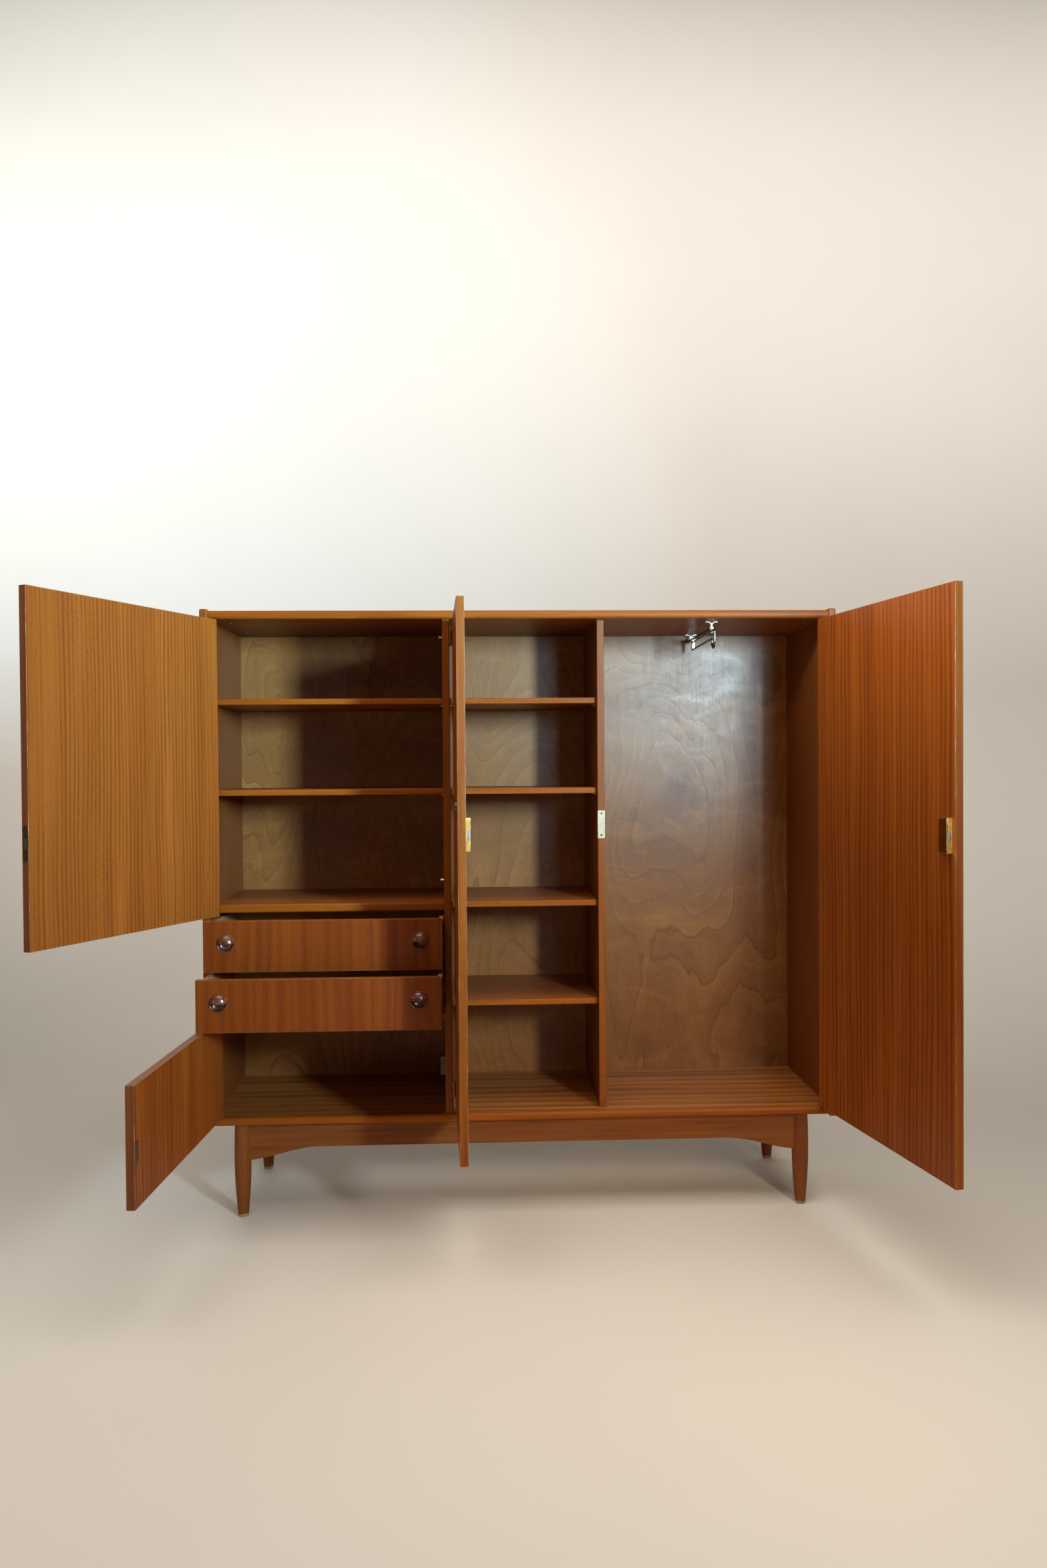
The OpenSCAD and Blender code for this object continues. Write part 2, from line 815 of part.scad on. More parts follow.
// Y-shaped bracket: two curved arms under the top panel, meeting at a ring round the guide rod
module bracket_shape(eye) {
    arm = 11;
    for (s = [-1, 1]) {
        intersection() {
            translate([s * arm, -arm]) difference() {
                circle(arm);
                circle(arm - 1.8);
            }
            translate([s * arm / 2 - arm / 2, -arm]) square([arm, arm]);
        }
        translate([s * 14 - 3, -1.8]) square([6, 1.8]);
    }
    translate([-1.8, -14]) square([3.6, 4]);
    translate([0, -18]) circle(5.6);
    if (eye) translate([0, -26.5]) circle(5);
}

module valet_guide() {
    color(dark_steel) difference() {
        union() {
            rod(guide_r, guide_y0, guide_y1, guide_z);
            for (i = [0, 1]) translate([valet_x, bracket_ys[i] + 6, ceil_z]) rotate([90, 0, 0])
                linear_extrude(12) bracket_shape(i == 0);
        }
        rod(slide_r + 0.08, bracket_ys[0] - 10, bracket_ys[0] + 10, slide_z);
    }
}

module valet_slide() {
    color(steel) difference() {
        union() {
            rod(slide_r, slide_front + bend_r, slide_back, slide_z);
            bend(slide_front + bend_r, slide_z - bend_r, bend_r, 90, 90);
            post(slide_r, slide_front, hook_low_z + hook_r, slide_z - bend_r);
            bend(slide_front + hook_r, hook_low_z + hook_r, hook_r, 180, 180);
            post(slide_r, slide_front + 2 * hook_r, hook_low_z + hook_r, slide_low_z - bend_r);
            bend(slide_front + 2 * hook_r + bend_r, slide_low_z - bend_r, bend_r, 90, 90);
            rod(slide_r, slide_front + 2 * hook_r + bend_r, slide_back, slide_low_z);
            translate([valet_x - 4, slide_back - 7, slide_low_z - slide_r])
                cube([8, 14, guide_z - slide_low_z]);
            rod(6.5, slide_back - 7, slide_back + 7, guide_z);
        }
        rod(guide_r + 0.08, slide_back - 10, slide_back + 10, guide_z);
    }
}

left_side();
right_side();
top_panel();
bottom_panel();
left_divider();
right_divider();
back_panel();
fixed_shelf();
drawer_floor();
left_shelf_upper();
left_shelf_lower();
middle_shelf(0);  // middle_shelf_1
middle_shelf(1);  // middle_shelf_2
middle_shelf(2);  // middle_shelf_3
middle_shelf(3);  // middle_shelf_4
shelf_pins();
drawer_runners();
panel_fitting_caps();
door_stops();
magnet_catch();
strike_plate();
leg_front_left();
leg_front_right();
leg_rear_left();
leg_rear_right();
front_apron();
rear_apron();
side_aprons();
corner_blocks();
carcass_hinge_leaves();
hinge_pins();
valet_guide();
valet_slide();
left_upper_door();
left_upper_door_leaves();
left_upper_door_pull();
left_upper_lock();
left_upper_lock_bolt();
left_lower_door();
left_lower_door_leaves();
left_lower_door_pull();
catch_plate();
middle_door();
middle_door_leaves();
middle_door_pull();
middle_lock();
middle_lock_bolt();
right_door();
right_door_leaves();
right_door_pull();
right_lock();
right_lock_bolt();
upper_drawer_front();
upper_drawer_box();
upper_drawer_bottom();
upper_drawer_pulls();
lower_drawer_front();
lower_drawer_box();
lower_drawer_bottom();
lower_drawer_pulls();
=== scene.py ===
"""Looks of a three-bay wardrobe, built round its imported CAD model. All lengths are in metres."""

import json
from math import cos, pi, radians, sin

import bmesh
import bpy
from mathutils import Matrix, Vector

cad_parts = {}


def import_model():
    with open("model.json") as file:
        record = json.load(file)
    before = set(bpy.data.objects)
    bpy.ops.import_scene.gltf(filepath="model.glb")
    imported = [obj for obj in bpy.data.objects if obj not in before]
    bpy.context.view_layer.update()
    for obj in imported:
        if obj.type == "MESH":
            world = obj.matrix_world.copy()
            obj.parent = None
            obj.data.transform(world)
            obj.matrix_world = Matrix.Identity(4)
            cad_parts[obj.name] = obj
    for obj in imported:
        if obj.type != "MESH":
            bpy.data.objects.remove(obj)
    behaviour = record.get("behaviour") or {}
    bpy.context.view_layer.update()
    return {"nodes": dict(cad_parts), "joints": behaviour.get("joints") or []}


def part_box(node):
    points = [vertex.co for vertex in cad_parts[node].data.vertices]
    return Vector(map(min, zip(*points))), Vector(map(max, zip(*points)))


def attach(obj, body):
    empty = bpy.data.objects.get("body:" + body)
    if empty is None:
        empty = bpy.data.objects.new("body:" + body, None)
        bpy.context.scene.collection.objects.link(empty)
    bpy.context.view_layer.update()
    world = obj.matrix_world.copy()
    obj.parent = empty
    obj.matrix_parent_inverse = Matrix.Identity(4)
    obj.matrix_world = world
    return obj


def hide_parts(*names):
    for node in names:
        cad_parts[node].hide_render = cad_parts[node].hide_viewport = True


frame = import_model()
NODES = frame["nodes"]
JOINTS = {j["name"]: j for j in frame["joints"]}
MM = 0.001
X, Y, Z = Vector((1, 0, 0)), Vector((0, 1, 0)), Vector((0, 0, 1))


# ---- Material graphs ----
class Graph:
    """A material's node tree. Each method adds a node and gives its main output."""

    def __init__(self, name):
        self.material = bpy.data.materials.new(name)
        self.material.use_nodes = True
        self.tree = self.material.node_tree
        self.tree.nodes.clear()

    def node(self, kind, sockets=(), **settings):
        made = self.tree.nodes.new("ShaderNode" + kind)
        for key, value in settings.items():
            setattr(made, key, value)
        for key, value in dict(sockets).items():
            if isinstance(value, bpy.types.NodeSocket):
                self.tree.links.new(value, made.inputs[key])
            else:
                made.inputs[key].default_value = value
        return made

    def grain(self):
        """Where a point lies along, across and through the grain."""
        return self.node("Attribute", attribute_name="grain").outputs["Vector"]

    def place(self):
        """A point's place in the row frame, for CAD nodes, which hold no grain."""
        return self.node("TexCoord").outputs["Object"]

    def scaled(self, vector, by, shift=(0, 0, 0)):
        sockets = {0: vector, 1: by, 2: shift}
        return self.node("VectorMath", sockets, operation="MULTIPLY_ADD").outputs[0]

    def noise(self, vector, by=(1, 1, 1), detail=2.0, roughness=0.5, distortion=0.0, shift=(0, 0, 0)):
        """Noise from 0 to 1; by is how many times a metre it changes along each axis."""
        names = ("Vector", "Scale", "Detail", "Roughness", "Distortion")
        values = (self.scaled(vector, by, shift), 1.0, detail, roughness, distortion)
        return self.node("TexNoise", zip(names, values)).outputs["Fac"]

    def math(self, operation, a, b=0.0):
        return self.node("Math", {0: a, 1: b}, operation=operation).outputs[0]

    def add(self, a, b):
        return self.math("ADD", a, b)

    def sub(self, a, b):
        return self.math("SUBTRACT", a, b)

    def mul(self, a, b):
        return self.math("MULTIPLY", a, b)

    def split(self, vector):
        return self.node("SeparateXYZ", {0: vector}).outputs

    def joined(self, x, y, z=0.0):
        return self.node("CombineXYZ", {0: x, 1: y, 2: z}).outputs[0]

    def remap(self, value, low, high, to_low=0.0, to_high=1.0):
        sockets = {0: value, 1: low, 2: high, 3: to_low, 4: to_high}
        return self.node("MapRange", sockets).outputs[0]

    def ramp(self, value, *stops):
        """Colours by value: stops are (place, colour)."""
        made = self.node("ValToRGB", {0: value})
        elements = made.color_ramp.elements
        while len(elements) < len(stops):
            elements.new(0.5)
        for element, (place, colour) in zip(elements, stops):
            element.position = place
            element.color = (*colour, 1)
        return made.outputs[0]

    def mix(self, share, a, b):
        """Colour a, turning to b as share goes from 0 to 1."""
        a, b = [(*colour, 1) if isinstance(colour, tuple) else colour for colour in (a, b)]
        return self.node("Mix", {0: share, 6: a, 7: b}, data_type="RGBA").outputs[2]

    def surface(self, colour, roughness, bump, **constants):
        """The finished material: bump is (height, distance, strength), constants other sockets."""
        normal = self.node("Bump", zip(("Height", "Distance", "Strength"), bump)).outputs[0]
        sockets = {"Base Color": colour, "Roughness": roughness, "Normal": normal}
        sockets.update({k.replace("_", " "): v for k, v in constants.items()})
        shader = self.node("BsdfPrincipled", sockets)
        self.node("OutputMaterial", {0: shader.outputs[0]})
        return self.material


def times(colour, by):
    return tuple(c * by for c in colour)


# ---- Wood ----
def veneer(name, tones, pitch=0.012, depth=0.6, gloss=0.36, curl=0.0, polish=0.14):
    """Quarter-cut veneer: dark ribbons a pitch apart that sway and fade, and fine pores.

    curl is the strength of short flecks across the grain.
    """
    g = Graph(name)
    dark, mid, light = tones
    along, across, through = g.split(g.grain())
    slow = g.joined(g.mul(along, 1.4), g.mul(across, 5.0))
    drift = g.noise(slow)
    swayed = g.add(across, g.mul(drift, 0.03))
    place = g.joined(along, swayed, through)
    crowding = g.noise(place, (0.5, 24, 24))
    phase = g.add(g.mul(swayed, 2 * pi / pitch), g.mul(crowding, 8.0))
    wave = g.remap(g.math("SINE", phase), -1.0, 1.0)
    faded = g.noise(place, (1.6, 34, 34), 2.0, 0.6, shift=(4.7, 0, 0))
    ribbon = g.mul(g.math("POWER", wave, 1.5), g.remap(faded, 0.30, 0.55))
    wide = g.noise(place, (0.5, 15, 15), shift=(2.6, 0, 0))
    streak = g.noise(place, (2.2, 420, 420), 2.0, 0.6, shift=(3.1, 0, 0))
    pore = g.noise(place, (90, 1500, 1500), 1.0, shift=(0, 0, 5.3))
    pores = g.remap(pore, 0.60, 0.70)
    ground = g.ramp(g.remap(wide, 0.32, 0.68), (0.0, mid), (1.0, light))
    colour = g.mix(g.mul(ribbon, depth), ground, dark)
    colour = g.mix(g.remap(streak, 0.35, 0.75, 0.0, 0.45), colour, times(dark, 0.9))
    if curl:
        patch = g.noise(place, (3.0, 5.0, 5.0), 1.0, shift=(6.4, 0, 0))
        fleck = g.noise(place, (210, 70, 70), 1.0, shift=(0, 9.1, 0))
        flecks = g.mul(g.remap(patch, 0.5, 0.62), g.remap(fleck, 0.6, 0.68))
        colour = g.mix(g.mul(flecks, curl), colour, times(dark, 0.7))
    colour = g.mix(g.mul(pores, 0.4), colour, times(dark, 0.4))
    roughness = g.remap(streak, 0.3, 0.8, gloss - 0.04, gloss + 0.09)
    ridges = g.sub(g.mul(streak, 0.35), pores)
    return g.surface(colour, roughness, (ridges, 0.00012, 0.35), Specular_IOR_Level=polish)


def solid_wood(name, dark, light, gloss=0.38, fine=180.0, wear=None, wear_at=0.62, polish=0.16):
    """Straight-grained solid wood. wear is a paler colour that shows in broken patches: worn finish, and on
    the arrises also a painted highlight.
    """
    g = Graph(name)
    place = g.grain()
    bands = g.noise(place, (1.2, 30, 30), 3.0, 0.6, 0.3)
    fibre = g.noise(place, (4.0, fine, fine), 3.0, 0.65, shift=(7.3, 0, 0))
    pore = g.noise(place, (60, 1300, 1300), 1.0)
    pores = g.remap(pore, 0.60, 0.70)
    both = g.add(g.mul(bands, 0.55), g.mul(fibre, 0.45))
    colour = g.ramp(g.remap(both, 0.34, 0.66), (0.0, dark), (1.0, light))
    colour = g.mix(g.mul(pores, 0.45), colour, times(dark, 0.45))
    if wear is not None:
        scuff = g.noise(place, (28, 300, 300), 4.0, 0.7, shift=(1.9, 0, 0))
        colour = g.mix(g.remap(scuff, wear_at - 0.1, wear_at + 0.06), colour, wear)
    roughness = g.remap(fibre, 0.3, 0.75, gloss - 0.05, gloss + 0.10)
    height = g.sub(g.mul(fibre, 0.4), pores)
    return g.surface(colour, roughness, (height, 0.00012, 0.35), Specular_IOR_Level=polish)


# Swirls that knots leave in rotary-cut veneer: middle x and z, half width and height, strength
SWIRLS = (
    (0.45, 1.64, 0.16, 0.11, 1.0),
    (0.14, 1.50, 0.09, 0.12, 0.7),
    (-0.74, 1.30, 0.07, 0.42, 0.8),
    (-0.51, 0.95, 0.045, 0.04, 0.6),
    (0.62, 0.70, 0.30, 0.22, 0.5),
)


def rotary_plywood(name, tones):
    """Rotary-cut veneer: each growth ring starts at a thin dark line and fades to the next."""
    g = Graph(name)
    dark, mid, light = tones
    place = g.grain()
    along, across, _ = g.split(place)
    flat = g.joined(g.mul(along, 0.8), g.mul(across, 2.4))
    field = g.mul(g.noise(flat, (1.2, 1.2, 1.2), 1.5, 0.4, 0.5), 0.7)
    for x, z, wide, high, strength in SWIRLS:
        dx = g.math("DIVIDE", g.sub(across, x), wide)
        dz = g.math("DIVIDE", g.sub(along, z), high)
        squared = g.add(g.mul(dx, dx), g.mul(dz, dz))
        hill = g.math("DIVIDE", 0.3 * strength, g.add(squared, 1.0))
        field = g.add(field, hill)
    ripple = g.noise(place, (6, 21, 1), 3.0, 0.5, 0.5)
    field = g.add(field, g.mul(ripple, 0.022))
    ring = g.math("FRACT", g.mul(field, 26.0))
    fine_ring = g.math("FRACT", g.mul(field, 121.0))
    line = g.mul(g.remap(ring, 0.0, 0.10, 1.0, 0.0), g.remap(ring, 0.0, 0.012))
    fine_line = g.remap(fine_ring, 0.0, 0.35, 1.0, 0.0)
    lines = g.math("MAXIMUM", line, g.mul(fine_line, 0.4))
    fibre = g.noise(place, (8, 420, 1), 3.0, 0.6)
    fleck = g.noise(place, (110, 1100, 1), 1.0, shift=(0, 0, 2.2))
    flecks = g.remap(fleck, 0.62, 0.72)
    flow = g.noise(place, (3.2, 1.9, 1), 3.0, 0.55, 1.2, shift=(8.0, 0, 0))
    curl = g.noise(place, (11, 4.5, 1), 5.0, 0.62, 1.6, shift=(0, 3.3, 0))
    tone = g.add(g.mul(ring, 0.25), g.remap(flow, 0.3, 0.7, 0.1, 0.7))
    colour = g.ramp(tone, (0.0, dark), (0.45, mid), (0.6, mid), (1.0, light))
    colour = g.mix(g.remap(curl, 0.55, 0.75, 0.0, 0.5), colour, times(light, 1.1))
    colour = g.mix(g.mul(lines, 0.45), colour, times(dark, 0.6))
    colour = g.mix(g.remap(fibre, 0.35, 0.75, 0.0, 0.3), colour, times(dark, 0.8))
    colour = g.mix(g.mul(flecks, 0.4), colour, times(dark, 0.35))
    satin = g.remap(curl, 0.35, 0.65, 0.36, 0.29)
    roughness = g.add(satin, g.remap(fibre, 0.3, 0.8, 0.0, 0.07))
    ridges = g.sub(g.mul(fibre, 0.4), g.mul(lines, 0.5))
    height = g.sub(ridges, g.mul(flecks, 0.35))
    return g.surface(colour, roughness, (height, 0.0003, 0.5), Specular_IOR_Level=0.19)


def polished_rosewood(name):
    g = Graph(name)
    place = g.grain()
    bands = g.noise(place, (6, 160, 160), 3.0, 0.6, 0.5)
    fine = g.noise(place, (18, 900, 900), 2.0, 0.6)
    dark, light = (0.035, 0.010, 0.006), (0.24, 0.062, 0.028)
    colour = g.ramp(g.remap(bands, 0.35, 0.7), (0.0, dark), (0.55, (0.13, 0.034, 0.016)), (1.0, light))
    colour = g.mix(g.remap(fine, 0.45, 0.8, 0.0, 0.4), colour, (0.012, 0.004, 0.003))
    roughness = g.remap(fine, 0.3, 0.8, 0.2, 0.34)
    return g.surface(colour, roughness, (fine, 0.00006, 0.25), Coat_Weight=0.12, Coat_Roughness=0.2)


def cad_wood(name, dark, light):
    """Wood for CAD nodes, which read their place in the row frame; the grain runs along y."""
    g = Graph(name)
    fibre = g.noise(g.place(), (190, 4, 190), 3.0, 0.6)
    colour = g.ramp(g.remap(fibre, 0.3, 0.7), (0.0, dark), (1.0, light))
    return g.surface(colour, g.remap(fibre, 0.3, 0.8, 0.45, 0.6), (fibre, 0.0001, 0.3))


# ---- Metal, plastic and paper ----
def metal(name, clean, aged, roughness, spots=60.0, share=(0.5, 0.72)):
    """Bare metal with a film of age in patches, and fine brushing or scratches."""
    g = Graph(name)
    place = g.place()
    patch = g.noise(place, (spots, spots, spots), 4.0, 0.65)
    brush = g.noise(place, (900, 900, 60), 3.0, 0.6)
    film = g.remap(patch, *share)
    colour = g.mix(film, clean, aged)
    brushing = g.remap(brush, 0.3, 0.8, roughness - 0.05, roughness + 0.07)
    rough = g.add(brushing, g.mul(film, 0.18))
    return g.surface(colour, rough, (brush, 0.00002, 0.15), Metallic=1.0)


def moulded(name, colour):
    """Moulded plastic with a faint orange-peel skin."""
    g = Graph(name)
    place = g.place()
    cloud = g.noise(place, (90, 90, 90), 3.0)
    peel = g.noise(place, (1400, 1400, 1400))
    mixed = g.mix(g.remap(cloud, 0.35, 0.7), colour, times(colour, 0.72))
    rough = g.remap(cloud, 0.3, 0.7, 0.39, 0.53)
    return g.surface(mixed, rough, (peel, 0.00004, 0.3))


def paper(name, colour):
    """The studio's paper sweep."""
    g = Graph(name)
    place = g.place()
    cloud = g.noise(place, (0.7, 0.7, 0.7), 3.0)
    tooth = g.noise(place, (260, 260, 260), 3.0)
    mixed = g.mix(g.remap(cloud, 0.35, 0.65), colour, times(colour, 0.965))
    return g.surface(mixed, 0.75, (tooth, 0.0002, 0.15), Specular_IOR_Level=0.25)


# Dark, middle and light tones of each veneer
GOLD = ((0.185, 0.041, 0.005), (0.310, 0.081, 0.011), (0.38, 0.110, 0.016))
RED = ((0.155, 0.031, 0.0045), (0.31, 0.070, 0.009), (0.40, 0.104, 0.013))
DRAWER = ((0.105, 0.018, 0.0018), (0.19, 0.037, 0.003), (0.235, 0.052, 0.005))
INSIDE = ((0.125, 0.030, 0.006), (0.21, 0.055, 0.011), (0.26, 0.075, 0.016))
BOARDS = ((0.145, 0.034, 0.007), (0.25, 0.066, 0.013), (0.32, 0.095, 0.020))
# The bottom board: the boards' wood made paler and more golden, partly its own tone and partly painted
# sheen of the light on the bays' floors
FLOOR_AND_SHEEN = ((0.17, 0.050, 0.009), (0.38, 0.130, 0.024), (0.46, 0.175, 0.036))
PLY = ((0.155, 0.051, 0.012), (0.27, 0.102, 0.024), (0.40, 0.175, 0.048))
# Pale colour for the eased arrises: partly worn finish, partly a painted highlight along the edges
PALE_WEAR_AND_HIGHLIGHT = (0.55, 0.36, 0.20)

M = {
    "gold door": veneer("gold_door_veneer", GOLD, 0.0125, 0.85, curl=0.35),
    "red door": veneer("red_door_veneer", RED, 0.0185, 0.8),
    "drawer": veneer("drawer_veneer", DRAWER, 0.030, 0.45, curl=0.2),
    "side": veneer("inside_veneer", INSIDE, 0.020, 0.5),
    "panel": veneer("panel_veneer", BOARDS, 0.014, 0.6),
    # A paler copy of the boards' veneer for the bottom board: partly painted sheen
    "floor board": veneer("floor_board_veneer_and_sheen", FLOOR_AND_SHEEN, 0.045, 0.85, gloss=0.40, polish=0.3),
    "edge": solid_wood("edge_lipping", (0.165, 0.037, 0.003), (0.28, 0.076, 0.0075), polish=0.10),
    "shelf edge": solid_wood("shelf_lipping", (0.19, 0.040, 0.003), (0.33, 0.086, 0.008), polish=0.06),
    "dark edge": solid_wood("door_lipping", (0.135, 0.034, 0.010), (0.22, 0.062, 0.020)),
    # Paler wood on the eased arrises: partly worn finish, partly a painted highlight along the edges
    "arris": solid_wood("worn_and_highlit_arris", (0.20, 0.05, 0.010), (0.30, 0.09, 0.020), wear=PALE_WEAR_AND_HIGHLIGHT),
    "door arris wear and highlight": solid_wood(
        "worn_and_highlit_door_arris", (0.24, 0.08, 0.02), (0.38, 0.15, 0.05), wear=PALE_WEAR_AND_HIGHLIGHT, wear_at=0.60
    ),
    "leg": solid_wood("leg_wood", (0.15, 0.038, 0.008), (0.25, 0.076, 0.016), gloss=0.34, polish=0.12),
    "apron": solid_wood(
        "apron_wood", (0.145, 0.040, 0.008), (0.27, 0.084, 0.018), gloss=0.36, fine=120.0, polish=0.10
    ),
    "foot": solid_wood(
        "worn_foot", (0.16, 0.07, 0.035), (0.34, 0.18, 0.10), 0.6, wear=(0.42, 0.33, 0.25), wear_at=0.5
    ),
    "pale": solid_wood("pale_wood", (0.33, 0.155, 0.055), (0.47, 0.25, 0.10), gloss=0.5),
    "pale cad": cad_wood("runner_wood", (0.36, 0.23, 0.11), (0.52, 0.37, 0.19)),
    "plywood": rotary_plywood("rotary_plywood", PLY),
    "rosewood": polished_rosewood("rosewood"),
    "brass": metal("aged_brass", (0.80, 0.54, 0.16), (0.40, 0.24, 0.06), 0.27),
    "cover brass": metal("lacquered_brass", (0.55, 0.33, 0.09), (0.20, 0.10, 0.03), 0.16, spots=25),
    "hinge brass": metal("bronzed_brass", (0.24, 0.145, 0.06), (0.10, 0.06, 0.028), 0.34),
    "mortise brass": metal("dull_brass", (0.16, 0.10, 0.045), (0.06, 0.035, 0.018), 0.36),
    "bolt steel": metal("bolt_steel", (0.27, 0.27, 0.27), (0.16, 0.15, 0.13), 0.34),
    "screw": metal("screw_steel", (0.065, 0.055, 0.042), (0.03, 0.024, 0.018), 0.45),
    "zinc": metal("zinc_plate", (0.205, 0.165, 0.118), (0.165, 0.135, 0.095), 0.38, share=(0.35, 0.8)),
    "bronze": metal("bronzed_steel", (0.055, 0.042, 0.032), (0.14, 0.10, 0.07), 0.33),
    "chrome": metal("worn_nickel", (0.26, 0.235, 0.21), (0.10, 0.07, 0.045), 0.22, spots=110),
    "cap": moulded("brown_cap", (0.075, 0.034, 0.018)),
    "paper": paper("pale_paper", (0.72, 0.67, 0.60)),
}


# ---- Meshes ----
def outward(bm):
    """Turns every face to the outside."""
    bmesh.ops.recalc_face_normals(bm, faces=bm.faces)
    return bm


def eased(bm, edges, offset, segments):
    """Rounds off some edges of bm."""
    bmesh.ops.bevel(bm, geom=edges, offset=offset, segments=segments, profile=0.5, affect="EDGES")
    return bm


def bands(bm, rings):
    """Faces from each ring of vertices to the next; a ring of one vertex is a point."""
    for a, b in zip(rings, rings[1:]):
        steps = max(len(a), len(b))
        for i in range(steps):
            j = (i + 1) % steps
            corners = (a[i % len(a)], a[j % len(a)], b[j % len(b)], b[i % len(b)])
            bm.faces.new(list(dict.fromkeys(corners)))


def skinned(bm, rings):
    """The bands between rings, closed at both ends."""
    bands(bm, rings)
    for ring in (rings[0], rings[-1]):
        if len(ring) > 1:
            bm.faces.new(ring)
    return outward(bm)


def slab(low, high, arris=0.7 * MM, segments=2):
    """A board with eased arrises."""
    bm = bmesh.new()
    size = Vector(high) - Vector(low)
    bmesh.ops.create_cube(bm, size=1, matrix=Matrix.Diagonal((*size, 1)))
    bmesh.ops.translate(bm, verts=bm.verts, vec=(Vector(high) + Vector(low)) / 2)
    return eased(bm, bm.edges[:], arris, segments) if arris else bm


def arc(centre, radius, start, end, steps=6):
    """Points on an arc in a plane, with its angles in degrees."""
    turn = [radians(start + (end - start) * i / steps) for i in range(steps + 1)]
    return [(centre[0] + radius * cos(t), centre[1] + radius * sin(t)) for t in turn]


def extruded(outline, low, high, plane):
    """A closed outline carried along the axis it doesn't name: plane is the two axes that it does."""
    bm = bmesh.new()
    axis = 3 - plane[0] - plane[1]
    rings = []
    for level in (low, high):
        ring = []
        for point in outline:
            place = [0.0, 0.0, 0.0]
            place[plane[0]], place[plane[1]], place[axis] = *point, level
            ring.append(bm.verts.new(place))
        rings.append(ring)
    bm.faces.new(rings[0])
    bm.faces.new(rings[1])
    bands(bm, rings)
    return outward(bm)


def nosed(low, high, radius, front=1, up=2):
    """A board whose low edge along axis front has round arrises; it is square at its other edges."""
    run = 3 - front - up
    a0, a1, b0, b1 = low[front], high[front], low[up], high[up]
    outline = arc((a0 + radius, b0 + radius), radius, 270, 180)
    outline += arc((a0 + radius, b1 - radius), radius, 180, 90)
    outline += [(a1, b1), (a1, b0)]
    return extruded(outline, low[run], high[run], (front, up))


def lathe(profile, steps=48, axis=Z, at=(0, 0, 0)):
    """A profile of (radius, height) turned round an axis. Points on the axis have radius 0."""
    bm = bmesh.new()
    rings = []
    for radius, height in profile:
        if radius == 0:
            rings.append([bm.verts.new((0, 0, height))])
            continue
        turn = [2 * pi * i / steps for i in range(steps)]
        rings.append([bm.verts.new((radius * cos(t), radius * sin(t), height)) for t in turn])
    skinned(bm, rings)
    turned = Z.rotation_difference(Vector(axis)).to_matrix().to_4x4()
    bm.transform(Matrix.Translation(at) @ turned)
    return bm


def filleted(points, radius, steps=6):
    """A polyline with each inner corner rounded."""
    path = [Vector(points[0])]
    for behind, corner, ahead in zip(points, points[1:], points[2:]):
        behind, corner, ahead = Vector(behind), Vector(corner), Vector(ahead)
        into, out = (behind - corner).normalized(), (ahead - corner).normalized()
        half = into.angle(out) / 2
        reach = radius * cos(half) / sin(half)
        centre = corner + (into + out).normalized() * (radius / sin(half))
        start = (corner + into * reach - centre).normalized()
        end = (corner + out * reach - centre).normalized()
        path += [centre + start.slerp(end, i / steps) * radius for i in range(steps + 1)]
    return path + [Vector(points[-1])]


def swept(path, radius):
    """A round bar along a path."""
    bm = bmesh.new()
    path = [Vector(p) for p in path]
    sides = 20
    side = None
    rings = []
    for behind, point, ahead in zip(path[:1] + path, path, path[1:] + path[-1:]):
        tangent = (ahead - behind).normalized()
        if side is None:
            side = tangent.orthogonal().normalized()
        side = (side - tangent * side.dot(tangent)).normalized()
        other = tangent.cross(side)
        turn = [2 * pi * k / sides for k in range(sides)]
        rings.append([bm.verts.new(point + (side * cos(t) + other * sin(t)) * radius) for t in turn])
    return skinned(bm, rings)


def mesh_of(bm, name):
    mesh = bpy.data.meshes.new(name)
    bm.to_mesh(mesh)
    bm.free()
    return mesh


def placed(name, data):
    """An object in the scene, with that mesh, lamp or camera."""
    made = bpy.data.objects.new(name, data)
    bpy.context.scene.collection.objects.link(made)
    return made


def joined(*parts):
    """Several solids as one bmesh."""
    whole = bmesh.new()
    for part in parts:
        mesh = mesh_of(part, "part")
        whole.from_mesh(mesh)
        bpy.data.meshes.remove(mesh)
    return whole


def cut(bm, *cutters):
    """bm without the cutters."""
    body = placed("cut_body", mesh_of(bm, "cut_body"))
    tools = [placed("cutter", mesh_of(c, "cutter")) for c in cutters]
    for tool in tools:
        made = body.modifiers.new("cut", "BOOLEAN")
        made.operation, made.solver, made.object = "DIFFERENCE", "EXACT", tool
    graph = bpy.context.evaluated_depsgraph_get()
    result = bmesh.new()
    result.from_mesh(bpy.data.meshes.new_from_object(body.evaluated_get(graph), depsgraph=graph))
    for thing in (body, *tools):
        bpy.data.objects.remove(thing)
    return result


def bore(radius, depth, at, axis=Y, steps=40):
    """A cutter for a blind bore that starts just outside the face at at."""
    return lathe([(0, -MM), (radius, -MM), (radius, depth), (0, depth)], steps, axis, at)


# ---- Pieces ----
GRAINS = 0
GRAIN_SHIFT = (1.37, 0.493, 0.21)


